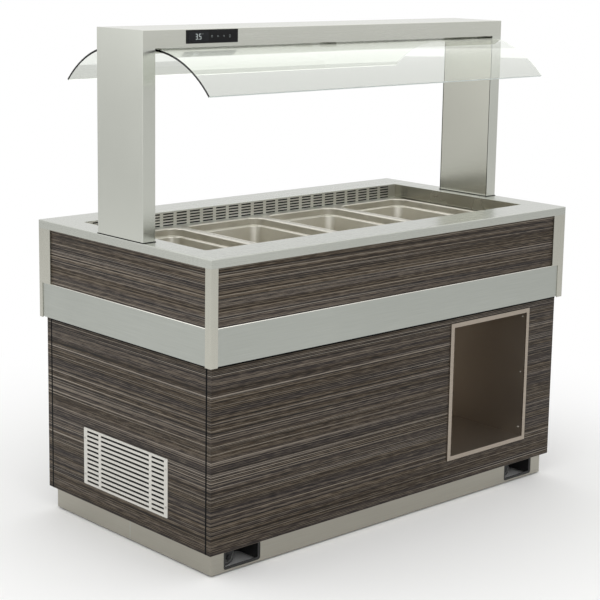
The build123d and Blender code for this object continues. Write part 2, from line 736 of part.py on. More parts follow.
band_flange = band_x - tub_x
for band_name, draw_bands in (("long_bands", mitred_long), ("end_bands", mitred_ends)):
    with BuildPart() as bands:
        with BuildSketch(Plane.XY.offset(band_bottom)):
            draw_bands(band_x, band_y, band_flange)
        extrude(amount=BAND_HEIGHT)
        with BuildSketch(Plane.XY.offset(band_bottom + BAND_SHEET)):
            draw_bands(band_x - BAND_SHEET, band_y - BAND_SHEET, band_flange)
        extrude(amount=BAND_HEIGHT - 2 * BAND_SHEET, mode=Mode.SUBTRACT)
    write(bands.part, band_name)

for laminate_name, draw_boards in (
    ("upper_long_panels", mitred_long),
    ("upper_end_panels", mitred_ends),
):
    with BuildPart() as laminate:
        with BuildSketch(Plane.XY.offset(band_top)):
            draw_boards(upper_x, upper_y, BOARD)
        extrude(amount=worktop_underside - band_top)
    write(laminate.part, laminate_name)

# Insulated tub with its air walls, rails and pans

tub_holes = (
    ((DRAIN_X, DRAIN_Y), DRAIN_RADIUS + DRAIN_CLEARANCE),
    ((line_supply_x, COIL_OFFSET), TUBE_RADIUS + TUBE_CLEARANCE),
    ((line_return_x, COIL_OFFSET), TUBE_RADIUS + TUBE_CLEARANCE),
)


def draw_tub_holes():
    """Draw the drain and tube holes of the tub's floor."""
    for place, radius in tub_holes:
        with Locations(place):
            Circle(radius)


with BuildPart() as tub_casing:
    add(open_tank(tub_x, tub_y, tub_bottom, worktop_underside, CASING_SHEET))
    with BuildSketch(Plane.XY.offset(tub_bottom)):
        draw_tub_holes()
    extrude(amount=well_floor - tub_bottom, mode=Mode.SUBTRACT)
write(tub_casing.part, "tub_casing")

with BuildPart() as tub_insulation:
    with BuildSketch(Plane.XY.offset(foam_bottom)):
        Rectangle(2 * (tub_x - CASING_SHEET), 2 * (tub_y - CASING_SHEET))
    extrude(amount=worktop_underside - foam_bottom)
    with BuildSketch(Plane.XY.offset(well_floor - LINER_SHEET)):
        Rectangle(2 * (opening_x + LINER_SHEET), 2 * (liner_y + LINER_SHEET))
    extrude(amount=worktop_underside - well_floor + LINER_SHEET, mode=Mode.SUBTRACT)
    with BuildSketch(Plane.XY.offset(tub_bottom)):
        draw_tub_holes()
    extrude(amount=well_floor - tub_bottom, mode=Mode.SUBTRACT)
write(tub_insulation.part, "tub_insulation")

with BuildPart() as well_liner:
    add(
        open_tank(
            opening_x + LINER_SHEET,
            liner_y + LINER_SHEET,
            well_floor - LINER_SHEET,
            worktop_underside,
            LINER_SHEET,
        )
    )
    with BuildSketch(Plane.XY.offset(tub_bottom)):
        draw_tub_holes()
    extrude(amount=well_floor - tub_bottom, mode=Mode.SUBTRACT)
write(well_liner.part, "well_liner")

# Each air wall hangs from the worktop to the well floor and carries a rail for the pan rims
air_wall_middle = (well_floor + worktop_underside) / 2
air_rows_middle = worktop_underside - AIR_TOP_MARGIN - (AIR_ROWS - 1) * AIR_ROW_PITCH / 2
for wall_name, wall_side in (("air_intake_wall", -1), ("air_outlet_wall", 1)):
    with BuildPart() as air_wall:
        wall_plane = Plane.XZ.offset(-wall_side * opening_y)
        with BuildSketch(wall_plane):
            with Locations((0, air_wall_middle)):
                Rectangle(2 * opening_x, worktop_underside - well_floor)
            with Locations((0, air_rows_middle)):
                with GridLocations(AIR_COLUMN_PITCH, AIR_ROW_PITCH, AIR_COLUMNS, AIR_ROWS):
                    Rectangle(AIR_SLOT_LENGTH, AIR_SLOT_HEIGHT, mode=Mode.SUBTRACT)
            with Locations((0, well_floor + AIR_PORT_SILL + AIR_PORT_HEIGHT / 2)):
                with GridLocations(AIR_PORT_PITCH, 0, AIR_PORT_COUNT, 1):
                    Rectangle(AIR_PORT_WIDTH, AIR_PORT_HEIGHT, mode=Mode.SUBTRACT)
        extrude(amount=-wall_side * AIR_WALL)
        ledge = opening_y - rail_y
        with BuildSketch(Plane.XY.offset(rail_top)):
            with Locations((0, wall_side * (rail_y + ledge / 2))):
                Rectangle(2 * opening_x, ledge)
        extrude(amount=-RAIL_SHEET)
        with BuildSketch(Plane.XY.offset(rail_top)):
            with Locations((0, wall_side * (rail_y + RAIL_SHEET / 2))):
                Rectangle(2 * opening_x, RAIL_SHEET)
        extrude(amount=-RAIL_RETURN)
    write(air_wall.part, wall_name)

with BuildPart() as pan_dividers:
    divider_places = GridLocations(pan_pitch, 0, PAN_COUNT - 1, 1)
    with BuildSketch(Plane.XY.offset(rail_top)):
        with divider_places:
            Rectangle(DIVIDER_WIDTH, 2 * rail_y)
    extrude(amount=-RAIL_RETURN)
    with BuildSketch(Plane.XY.offset(rail_top - RAIL_SHEET)):
        with divider_places:
            Rectangle(DIVIDER_WIDTH - 2 * RAIL_SHEET, 2 * rail_y)
    extrude(amount=-RAIL_RETURN, mode=Mode.SUBTRACT)
write(pan_dividers.part, "pan_dividers")


def pan_form(pan_x, inset):
    """The pressed form of a pan below its mouth, drawn in from its outer surface by the inset."""
    mouth_x = PAN_WIDTH - 2 * PAN_RIM - 2 * inset
    mouth_y = PAN_LENGTH - 2 * PAN_RIM - 2 * inset
    corner = PAN_MOUTH_CORNER - inset
    step_z = pan_rim_top - PAN_SHOULDER + inset
    floor_z = pan_rim_top - PAN_DEPTH + inset
    with BuildPart() as form:
        with BuildSketch(Plane.XY.offset(step_z)):
            with Locations((pan_x, 0)):
                RectangleRounded(mouth_x, mouth_y, corner)
        extrude(amount=pan_rim_top - step_z)
        with BuildSketch(Plane.XY.offset(step_z)):
            with Locations((pan_x, 0)):
                step = 2 * PAN_STEP
                RectangleRounded(mouth_x - step, mouth_y - step, corner - PAN_STEP)
        with BuildSketch(Plane.XY.offset(floor_z)):
            with Locations((pan_x, 0)):
                lean = 2 * (PAN_STEP + PAN_DRAFT)
                RectangleRounded(mouth_x - lean, mouth_y - lean, corner - PAN_STEP)
        loft()
        fillet(form.faces().sort_by(Axis.Z)[0].edges(), PAN_FLOOR_RADIUS - inset)
        for round_over in (True, False):
            step_face = form.faces().filter_by(
                lambda face: abs(face.center().Z - step_z) < PAN_SHEET / 4
            ).sort_by(SortBy.AREA)[-1]
            if round_over:
                fillet(step_face.inner_wires()[0].edges(), PAN_STEP_ROUND + inset)
            else:
                fillet(step_face.outer_wire().edges(), PAN_STEP_FOLD - inset)
    return form.part


for pan in range(PAN_COUNT):
    pan_x = (pan - (PAN_COUNT - 1) / 2) * pan_pitch
    with BuildPart() as gn_pan:
        with BuildSketch(Plane.XY.offset(rail_top)):
            with Locations((pan_x, 0)):
                RectangleRounded(PAN_WIDTH, PAN_LENGTH, PAN_RIM_CORNER)
        extrude(amount=PAN_SHEET)
        add(pan_form(pan_x, 0.0))
        under_rim = gn_pan.faces().filter_by(
            lambda face: abs(face.center().Z - rail_top) < PAN_SHEET / 4
        )
        fillet(under_rim.sort_by(SortBy.AREA)[-1].inner_wires()[0].edges(), PAN_BEND - PAN_SHEET)
        add(pan_form(pan_x, PAN_SHEET), mode=Mode.SUBTRACT)
        fillet(gn_pan.faces().sort_by(Axis.Z)[-1].inner_wires()[0].edges(), PAN_BEND)
    write(gn_pan.part, f"gn_pan_{pan + 1}")

# Evaporator, its fans and the drain inside and under the well

with BuildPart() as evaporator_coil:
    with BuildSketch(Plane.XY.offset(coil_bottom)):
        with Locations((0, COIL_OFFSET)):
            Rectangle(COIL_LENGTH, COIL_DEPTH)
    extrude(amount=COIL_HEIGHT)
    fin_count = int((COIL_LENGTH - FIN_PITCH) / FIN_PITCH)
    with BuildSketch(Plane.XY.offset(coil_bottom + COIL_BASE)):
        with Locations((0, COIL_OFFSET)):
            with GridLocations(FIN_PITCH, 0, fin_count, 1):
                Rectangle(FIN_GAP, COIL_DEPTH)
    extrude(amount=COIL_HEIGHT, mode=Mode.SUBTRACT)
write(evaporator_coil.part, "evaporator_coil")

motor_face_y = deck_y - FAN_WIDTH / 2 - FAN_GAP
motor_back_y = motor_face_y - FAN_MOTOR_LENGTH
fan_planes = [
    Plane(origin=(side * FAN_SPACING / 2, deck_y, fan_z), x_dir=(1, 0, 0), z_dir=(0, 1, 0))
    for side in SIDES
]
with BuildPart() as fan_deck:
    with BuildSketch(Plane.XZ.offset(-deck_y)):
        with Locations((0, fan_z)):
            Rectangle(DECK_LENGTH, DECK_HEIGHT)
            with GridLocations(FAN_SPACING, 0, 2, 1):
                Circle(DECK_HOLE, mode=Mode.SUBTRACT)
    extrude(amount=DECK_SHEET / 2, both=True)
    with BuildSketch(Plane.XY.offset(well_floor)):
        with Locations((0, deck_y + DECK_FOOT / 2)):
            Rectangle(DECK_LENGTH, DECK_FOOT)
    extrude(amount=DECK_SHEET)
    bracket_reach = DECK_HOLE + FAN_BRACKET
    with BuildSketch(Plane.XZ.offset(-motor_back_y)):
        with Locations((0, fan_z)):
            with GridLocations(FAN_SPACING, 0, 2, 1):
                Rectangle(2 * bracket_reach, FAN_BRACKET)
    extrude(amount=DECK_SHEET)
    with BuildSketch(Plane.XZ.offset(-deck_y)):
        with Locations((0, fan_z)):
            with GridLocations(FAN_SPACING, 0, 2, 1):
                with GridLocations(2 * bracket_reach - DECK_SHEET, 0, 2, 1):
                    Rectangle(DECK_SHEET, FAN_BRACKET)
    extrude(amount=deck_y - motor_back_y)
fan_motors = [
    fan_motor(
        plane.offset(motor_face_y - deck_y),
        FAN_MOTOR_RADIUS,
        FAN_MOTOR_LENGTH,
        FAN_SHAFT,
        FAN_GAP + FAN_WIDTH,
    )
    for plane in fan_planes
]
write(Compound(children=[fan_deck.part, *fan_motors]), "evaporator_fan_deck")

for fan_name, plane in zip(("left", "right"), fan_planes):
    rotor = fan_rotor(plane, FAN_RADIUS, FAN_HUB, FAN_WIDTH, FAN_SHAFT + RUNNING_CLEARANCE)
    write(rotor, f"evaporator_fan_{fan_name}")

valve_top = tub_bottom - DRAIN_DROP + VALVE_HEIGHT
valve_middle = valve_top - VALVE_HEIGHT / 2
drain_bottom = tub_bottom - DRAIN_DROP
stem_plane = Plane(
    origin=(DRAIN_X, DRAIN_Y - VALVE_RADIUS, valve_middle), x_dir=(1, 0, 0), z_dir=(0, -1, 0)
)
with BuildPart() as drain_valve:
    with BuildSketch(Plane.XY.offset(drain_bottom)):
        with Locations((DRAIN_X, DRAIN_Y)):
            Circle(DRAIN_RADIUS)
    extrude(amount=well_floor - drain_bottom)
    with BuildSketch(Plane.XY.offset(well_floor)):
        with Locations((DRAIN_X, DRAIN_Y)):
            Circle(DRAIN_FLANGE)
    extrude(amount=DRAIN_FLANGE_SHEET)
    with BuildSketch(Plane.XY.offset(valve_top)):
        with Locations((DRAIN_X, DRAIN_Y)):
            RegularPolygon(VALVE_RADIUS, 8, major_radius=False)
    extrude(amount=-VALVE_HEIGHT)
    with BuildSketch(Plane.XY.offset(drain_bottom)):
        with Locations((DRAIN_X, DRAIN_Y)):
            Circle(DRAIN_BORE)
    extrude(amount=well_floor + DRAIN_FLANGE_SHEET - drain_bottom, mode=Mode.SUBTRACT)
    with BuildSketch(stem_plane):
        Circle(VALVE_STEM)
    extrude(amount=VALVE_STEM_LENGTH)
write(drain_valve.part, "drain_valve")

with BuildPart() as drain_lever:
    with BuildSketch(stem_plane.offset(VALVE_STEM_LENGTH)):
        with Locations((0, (LEVER_WIDTH - LEVER_LENGTH) / 2)):
            SlotOverall(LEVER_LENGTH, LEVER_WIDTH, rotation=90)
        Circle(VALVE_STEM + RUNNING_CLEARANCE, mode=Mode.SUBTRACT)
    extrude(amount=-LEVER_SHEET)
write(drain_lever.part, "drain_lever")

# Condensing unit behind the machine grille

with BuildPart() as condenser_coil:
    with BuildSketch(Plane.XY.offset(floor_top)):
        with Locations((condenser_left + CONDENSER_DEPTH / 2, 0)):
            Rectangle(CONDENSER_DEPTH, CONDENSER_WIDTH)
    extrude(amount=CONDENSER_HEIGHT)
    condenser_fins = int((CONDENSER_WIDTH - FIN_PITCH) / FIN_PITCH)
    with BuildSketch(Plane.XY.offset(floor_top + COIL_BASE)):
        with Locations((condenser_left + CONDENSER_DEPTH / 2, 0)):
            with GridLocations(0, FIN_PITCH, 1, condenser_fins):
                Rectangle(CONDENSER_DEPTH, FIN_GAP)
    extrude(amount=CONDENSER_HEIGHT - 2 * COIL_BASE, mode=Mode.SUBTRACT)
write(condenser_coil.part, "condenser_coil")

shroud_hole = CONDENSER_FAN_RADIUS + CONDENSER_FAN_ROOM
rotor_x = condenser_x + SHROUD_SHEET + CONDENSER_FAN_WIDTH / 2
motor_face_x = rotor_x + CONDENSER_FAN_WIDTH / 2 + FAN_GAP
stand_x = motor_face_x + CONDENSER_MOTOR_LENGTH / 2
with BuildPart() as condenser_shroud:
    with BuildSketch(Plane.YZ.offset(condenser_x)):
        with Locations((0, condenser_fan_z)):
            Rectangle(CONDENSER_WIDTH, CONDENSER_HEIGHT)
            Circle(shroud_hole, mode=Mode.SUBTRACT)
    extrude(amount=SHROUD_SHEET)
    with BuildSketch(Plane.YZ.offset(condenser_x)):
        with Locations((0, condenser_fan_z)):
            Circle(shroud_hole + SHROUD_SHEET)
            Circle(shroud_hole, mode=Mode.SUBTRACT)
    extrude(amount=SHROUD_RING)

motor_plane = Plane(origin=(motor_face_x, 0, condenser_fan_z), x_dir=(0, 1, 0), z_dir=(-1, 0, 0))
with BuildPart() as condenser_fan_motor:
    add(
        fan_motor(
            motor_plane,
            CONDENSER_MOTOR_RADIUS,
            CONDENSER_MOTOR_LENGTH,
            CONDENSER_SHAFT,
            FAN_GAP + CONDENSER_FAN_WIDTH,
        )
    )
    with BuildSketch(Plane.XY.offset(floor_top)):
        with Locations((stand_x, 0)):
            Rectangle(MOTOR_STAND_SHEET, MOTOR_STAND)
    extrude(amount=condenser_fan_z - floor_top)
    with BuildSketch(Plane.XY.offset(floor_top)):
        with Locations((stand_x, 0)):
            Rectangle(MOTOR_STAND_FOOT, MOTOR_STAND)
    extrude(amount=MOTOR_STAND_SHEET)
write(
    Compound(children=[condenser_shroud.part, condenser_fan_motor.part]),
    "condenser_fan_housing",
)

rotor_plane = Plane(origin=(rotor_x, 0, condenser_fan_z), x_dir=(0, 1, 0), z_dir=(-1, 0, 0))
condenser_fan = fan_rotor(
    rotor_plane,
    CONDENSER_FAN_RADIUS,
    CONDENSER_FAN_HUB,
    CONDENSER_FAN_WIDTH,
    CONDENSER_SHAFT + RUNNING_CLEARANCE,
)
write(condenser_fan, "condenser_fan")

with BuildPart() as compressor_shell:
    with BuildSketch(Plane.XY.offset(compressor_foot)):
        with Locations((compressor_x, 0)):
            Circle(COMPRESSOR_RADIUS)
    extrude(amount=COMPRESSOR_HEIGHT)
    fillet(compressor_shell.faces().sort_by(Axis.Z)[-1].edges(), COMPRESSOR_DOME)
    with BuildSketch(Plane.XY.offset(compressor_foot)):
        with Locations((compressor_x, 0)):
            RectangleRounded(COMPRESSOR_FOOT_X, COMPRESSOR_FOOT_Y, MOUNT_RADIUS)
    extrude(amount=COMPRESSOR_FOOT_SHEET)
    with BuildSketch(Plane.XY.offset(compressor_foot + COMPRESSOR_HEIGHT / 3)):
        with Locations((compressor_x, -COMPRESSOR_RADIUS)):
            Rectangle(TERMINAL_BOX, TERMINAL_BOX)
    extrude(amount=TERMINAL_BOX)
with BuildPart() as compressor_mounts:
    mount_span_x = COMPRESSOR_FOOT_X - 2 * MOUNT_RADIUS
    mount_span_y = COMPRESSOR_FOOT_Y - 2 * MOUNT_RADIUS
    with BuildSketch(Plane.XY.offset(floor_top)):
        with Locations((compressor_x, 0)):
            with GridLocations(mount_span_x, mount_span_y, 2, 2):
                Circle(MOUNT_RADIUS)
    extrude(amount=MOUNT_HEIGHT)
write(Compound(children=[compressor_shell.part, *compressor_mounts.solids()]), "compressor")

condenser_middle = condenser_left + CONDENSER_DEPTH / 2
line_side = CONDENSER_WIDTH / 2 - TUBE_BEND
upper_line = line_top + LINE_RISE
discharge_line = bent_tube(
    [
        (compressor_x - TUBE_BEND, 0, compressor_top),
        (compressor_x - TUBE_BEND, 0, line_top),
        (compressor_x - TUBE_BEND, line_side, line_top),
        (condenser_middle, line_side, line_top),
        (condenser_middle, line_side, condenser_top),
    ]
)
liquid_line = bent_tube(
    [
        (condenser_middle, -line_side, condenser_top),
        (condenser_middle, -line_side, upper_line),
        (line_supply_x, -line_side, upper_line),
        (line_supply_x, COIL_OFFSET, upper_line),
        (line_supply_x, COIL_OFFSET, coil_bottom),
    ]
)
suction_line = bent_tube(
    [
        (line_return_x, COIL_OFFSET, coil_bottom),
        (line_return_x, COIL_OFFSET, line_top),
        (line_return_x, 0, line_top),
        (compressor_x + TUBE_BEND, 0, line_top),
        (compressor_x + TUBE_BEND, 0, compressor_top),
    ]
)
write(
    Compound(children=[discharge_line, liquid_line, suction_line]),
    "refrigerant_lines",
)

box_y = frame_y - BOX_REAR_GAP - BOX_DEPTH / 2
with BuildPart() as electrical_box:
    with BuildSketch(Plane.XY.offset(floor_top)):
        with Locations((BOX_X, box_y)):
            Rectangle(BOX_LENGTH, BOX_DEPTH)
    extrude(amount=BOX_HEIGHT)
    with BuildSketch(Plane.XY.offset(floor_top + BOX_SHEET)):
        with Locations((BOX_X, box_y)):
            Rectangle(BOX_LENGTH - 2 * BOX_SHEET, BOX_DEPTH - 2 * BOX_SHEET)
    extrude(amount=BOX_HEIGHT, mode=Mode.SUBTRACT)
with BuildPart() as electrical_lid:
    with BuildSketch(Plane.XY.offset(floor_top + BOX_HEIGHT)):
        with Locations((BOX_X, box_y)):
            Rectangle(BOX_LENGTH, BOX_DEPTH)
    extrude(amount=BOX_SHEET)
write(Compound(children=[electrical_box.part, electrical_lid.part]), "electrical_box")

# The mains lead leaves through a gland in the rear plinth sheet
with BuildPart() as cable_gland:
    with BuildSketch(Plane.XZ.offset(-plinth_y)):
        with Locations((GLAND_X, gland_z)):
            Circle(GLAND_THREAD)
    extrude(amount=GLAND_INSIDE)
    with BuildSketch(Plane.XZ.offset(-plinth_y)):
        with Locations((GLAND_X, gland_z)):
            RegularPolygon(GLAND_HEX, 6)
    extrude(amount=-GLAND_FLANGE)
    with BuildSketch(Plane.XZ.offset(-plinth_y - GLAND_FLANGE)):
        with Locations((GLAND_X, gland_z)):
            Circle(GLAND_DOME)
    extrude(amount=GLAND_FLANGE - GLAND_OUTSIDE)
    with BuildSketch(Plane.XZ.offset(-plinth_y + GLAND_INSIDE)):
        with Locations((GLAND_X, gland_z)):
            Circle(GLAND_BORE)
    extrude(amount=-GLAND_INSIDE - GLAND_OUTSIDE, mode=Mode.SUBTRACT)
write(cable_gland.part, "cable_gland")

# Portal: columns, covers, canopy, soffit and lamp

column_outside = body_x - COLUMN_INSET
column_inside = column_outside - COLUMN_THICK
column_half = COLUMN_DEPTH / 2
flange_length = COLUMN_THICK - PORTAL_SHEET

for column_name, side in (("column_left", -1), ("column_right", 1)):
    with BuildPart() as column:
        with BuildSketch(Plane.XY.offset(WORKTOP_HEIGHT)):
            with Locations((side * (column_outside - PORTAL_SHEET / 2), 0)):
                Rectangle(PORTAL_SHEET, COLUMN_DEPTH)
        extrude(amount=TOTAL_HEIGHT - WORKTOP_HEIGHT)
        with BuildSketch(Plane.XY.offset(WORKTOP_HEIGHT)):
            with Locations((side * (column_inside + flange_length / 2), 0)):
                with GridLocations(0, COLUMN_DEPTH - PORTAL_SHEET, 1, 2):
                    Rectangle(flange_length, PORTAL_SHEET)
        extrude(amount=canopy_bottom - WORKTOP_HEIGHT)
        with BuildSketch(Plane.XY.offset(WORKTOP_HEIGHT)):
            foot = COLUMN_THICK - 2 * PORTAL_SHEET - COVER_GAP
            with Locations((side * (column_outside - PORTAL_SHEET - foot / 2), 0)):
                Rectangle(foot, COLUMN_DEPTH - 2 * PORTAL_SHEET)
        extrude(amount=FOOT_PLATE)
        bends = column.edges().filter_by(Axis.Z).group_by(Axis.X)[-1 if side > 0 else 0]
        fillet(bends, COLUMN_BEND)
    write(column.part, column_name)

with BuildPart() as column_covers:
    with BuildSketch(Plane.XY.offset(WORKTOP_HEIGHT)):
        with GridLocations(2 * column_inside + PORTAL_SHEET, 0, 2, 1):
            Rectangle(PORTAL_SHEET, COLUMN_DEPTH - 2 * (PORTAL_SHEET + COVER_GAP))
    extrude(amount=canopy_bottom - WORKTOP_HEIGHT)
write(column_covers.part, "column_covers")

canopy_half = column_outside - PORTAL_SHEET
panel_x = -body_x + PANEL_INSET + PANEL_WIDTH / 2
panel_z = TOTAL_HEIGHT - PANEL_TOP_MARGIN - PANEL_HEIGHT / 2
panel_body_width = PANEL_WIDTH - 2 * PANEL_BODY_EDGE
panel_body_height = PANEL_HEIGHT - 2 * PANEL_BODY_EDGE
with BuildPart() as canopy_shell:
    with BuildSketch(Plane.XY.offset(canopy_bottom)):
        Rectangle(2 * canopy_half, COLUMN_DEPTH)
    extrude(amount=CANOPY_HEIGHT)
    fillet(canopy_shell.edges().filter_by(Axis.X).group_by(Axis.Z)[-1], PORTAL_SHEET)
    with BuildSketch(Plane.XY.offset(canopy_bottom)):
        Rectangle(2 * canopy_half, COLUMN_DEPTH - 2 * PORTAL_SHEET)
    extrude(amount=CANOPY_HEIGHT - PORTAL_SHEET, mode=Mode.SUBTRACT)
    with BuildSketch(Plane.XZ.offset(column_half)):
        with Locations((panel_x, panel_z)):
            Rectangle(panel_body_width + 2 * PANEL_FIT, panel_body_height + 2 * PANEL_FIT)
    extrude(amount=-PORTAL_SHEET, mode=Mode.SUBTRACT)
write(canopy_shell.part, "canopy_shell")

with BuildPart() as canopy_soffit:
    with BuildSketch(Plane.XY.offset(canopy_bottom)):
        Rectangle(2 * canopy_half, COLUMN_DEPTH - 2 * PORTAL_SHEET)
        Rectangle(LAMP_LENGTH + 2 * LAMP_FIT, LAMP_WIDTH + 2 * LAMP_FIT, mode=Mode.SUBTRACT)
    extrude(amount=PORTAL_SHEET)
write(canopy_soffit.part, "canopy_soffit")

with BuildPart() as lamp_diffuser:
    with BuildSketch(Plane.XY.offset(canopy_bottom)):
        Rectangle(LAMP_LENGTH, LAMP_WIDTH)
    extrude(amount=PORTAL_SHEET)
    with BuildSketch(Plane.XY.offset(canopy_bottom + PORTAL_SHEET)):
        Rectangle(LAMP_LENGTH + 2 * LAMP_FLANGE, LAMP_WIDTH + 2 * LAMP_FLANGE)
    extrude(amount=LAMP_FLANGE_SHEET)
write(lamp_diffuser.part, "lamp_diffuser")

with BuildPart() as control_panel:
    with BuildSketch(Plane.XZ.offset(column_half)):
        with Locations((panel_x, panel_z)):
            RectangleRounded(PANEL_WIDTH, PANEL_HEIGHT, PANEL_CORNER)
    extrude(amount=PANEL_PROUD)
    with BuildSketch(Plane.XZ.offset(column_half)):
        with Locations((panel_x, panel_z)):
            Rectangle(panel_body_width, panel_body_height)
    extrude(amount=-PANEL_BODY_DEPTH)
write(control_panel.part, "control_panel")

# Curved glass hangs from the soffit in clamps, a pane on each side

glass_half = column_inside - GLASS_SIDE_GAP
bend_centre_z = glass_top - GLASS_RADIUS
for glass_name, side in (("glass_front", -1), ("glass_rear", 1)):
    with BuildPart() as pane:
        with BuildSketch(Plane.YZ.offset(-glass_half)):
            with BuildLine():
                bend_start = side * GLASS_BEND_START
                bend_centre = (bend_start, bend_centre_z)
                sweep_angle = -side * GLASS_SWEEP
                tail = side * GLASS_TAIL
                outer = CenterArc(bend_centre, GLASS_RADIUS, 90, sweep_angle)
                inner = CenterArc(bend_centre, GLASS_RADIUS - GLASS, 90, sweep_angle)
                Line(outer @ 1, inner @ 1)
                Polyline(
                    outer @ 0,
                    (tail, glass_top),
                    (tail, glass_top - GLASS),
                    inner @ 0,
                )
            make_face()
        extrude(amount=2 * glass_half)
    write(pane.part, glass_name)

clamp_x = glass_half - CLAMP_END - CLAMP_LENGTH / 2
jaw_bottom = glass_top - GLASS - CLAMP_THICK
riser_outside = GLASS_TAIL - CLAMP_FIT
riser_inside = riser_outside - CLAMP_RISER
jaw_outside = GLASS_TAIL + CLAMP_REACH
with BuildPart() as glass_clamps:
    for side in SIDES:
        for place in (-clamp_x, 0.0, clamp_x):
            with BuildSketch(Plane.XY.offset(jaw_bottom)):
                with Locations((place, side * (riser_inside + jaw_outside) / 2)):
                    Rectangle(CLAMP_LENGTH, jaw_outside - riser_inside)
            extrude(amount=CLAMP_THICK)
            with BuildSketch(Plane.XY.offset(jaw_bottom)):
                with Locations((place, side * (riser_inside + riser_outside) / 2)):
                    Rectangle(CLAMP_LENGTH, CLAMP_RISER)
            extrude(amount=canopy_bottom - jaw_bottom)
            with BuildSketch(Plane.XY.offset(glass_top)):
                with Locations((place, side * (GLASS_TAIL + jaw_outside) / 2)):
                    Rectangle(CLAMP_LENGTH, CLAMP_REACH)
            extrude(amount=GLASS_PAD)
write(glass_clamps.part, "glass_clamps")
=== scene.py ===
"""Finishes and small hardware of a refrigerated buffet display case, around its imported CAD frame."""

import json
import math

import bmesh
import bpy
from mathutils import Matrix, Vector

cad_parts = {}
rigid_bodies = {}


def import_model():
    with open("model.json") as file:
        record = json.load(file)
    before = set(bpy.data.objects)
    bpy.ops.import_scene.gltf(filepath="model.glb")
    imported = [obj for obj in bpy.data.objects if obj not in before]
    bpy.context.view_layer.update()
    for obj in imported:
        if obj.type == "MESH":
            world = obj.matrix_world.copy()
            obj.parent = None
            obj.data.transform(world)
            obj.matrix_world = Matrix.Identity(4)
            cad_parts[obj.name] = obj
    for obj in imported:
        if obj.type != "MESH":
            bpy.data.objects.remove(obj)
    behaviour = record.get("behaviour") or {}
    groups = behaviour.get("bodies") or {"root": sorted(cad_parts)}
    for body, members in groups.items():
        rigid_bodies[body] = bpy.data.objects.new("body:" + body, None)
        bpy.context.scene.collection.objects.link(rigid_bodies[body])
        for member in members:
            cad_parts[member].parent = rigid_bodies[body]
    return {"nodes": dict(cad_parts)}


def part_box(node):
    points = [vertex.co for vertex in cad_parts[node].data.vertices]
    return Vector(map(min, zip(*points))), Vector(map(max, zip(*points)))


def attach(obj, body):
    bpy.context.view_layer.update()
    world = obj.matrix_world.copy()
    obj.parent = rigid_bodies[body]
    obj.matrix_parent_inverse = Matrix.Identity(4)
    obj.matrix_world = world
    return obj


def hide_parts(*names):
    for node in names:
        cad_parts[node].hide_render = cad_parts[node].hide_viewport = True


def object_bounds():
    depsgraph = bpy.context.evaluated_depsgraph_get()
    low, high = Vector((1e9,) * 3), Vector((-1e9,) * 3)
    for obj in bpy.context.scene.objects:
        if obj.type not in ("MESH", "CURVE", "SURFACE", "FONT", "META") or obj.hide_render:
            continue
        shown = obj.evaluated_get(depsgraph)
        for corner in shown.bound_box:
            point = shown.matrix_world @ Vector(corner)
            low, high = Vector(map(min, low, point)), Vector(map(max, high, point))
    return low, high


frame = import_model()
cad_low, cad_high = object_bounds()
nodes = frame["nodes"]
scene = bpy.context.scene
MM = 0.001
FULL_TURN = 2 * math.pi
QUARTER_TURN = math.pi / 2
CASTER_CORNERS = ("front_left", "front_right", "rear_left", "rear_right")


# Colours and nodes

def linear(hex_colour):
    """Turns an sRGB hex value to the linear colour that a shader takes."""
    channels = [int(hex_colour[start:start + 2], 16) / 255 for start in (1, 3, 5)]
    return [c / 12.92 if c <= 0.04045 else ((c + 0.055) / 1.055) ** 2.4 for c in channels] + [1.0]


def add_node(tree, kind, values=None, links=None, **settings):
    """Adds a node with its settings, the plain values of its inputs and the links into them."""
    node = tree.nodes.new(kind)
    for name, value in settings.items():
        setattr(node, name, value)
    for name, value in (values or {}).items():
        node.inputs[name].default_value = value
    for name, socket in (links or {}).items():
        tree.links.new(socket, node.inputs[name])
    return node


def start_material(name, colour, metallic, roughness):
    """A new material with the numbers that are the same all over its surface."""
    material = bpy.data.materials.new(name)
    material.use_nodes = True
    surface = material.node_tree.nodes["Principled BSDF"]
    surface.inputs["Base Color"].default_value = linear(colour)
    surface.inputs["Metallic"].default_value = metallic
    surface.inputs["Roughness"].default_value = roughness
    return material, material.node_tree, surface


def per_metre(millimetres):
    """How often a pattern of this real size repeats in a metre."""
    return 1.0 / (millimetres * MM)


# Numbers of the Mix node's sockets, because its colours and vectors share their labels
MIX_FACTOR = 0
MIX_VECTOR_A, MIX_VECTOR_B, MIX_VECTOR_OUT = 4, 5, 1
MIX_COLOUR_A, MIX_COLOUR_B, MIX_COLOUR_OUT = 6, 7, 2
# Nearly all of a noise texture lies between these two values
NOISE_LOW, NOISE_HIGH = 0.3, 0.7


# Finishes

LEVEL_SLOPE = 0.7
CLOUD_SIZE = 260.0
SCRATCH_SHARE, CLOUD_SHARE = 0.7, 0.3
SCRATCH_DEPTH, SCRATCH_STRENGTH = 0.05 * MM, 0.025
SMOOTHER, ROUGHER = 0.03, 0.04


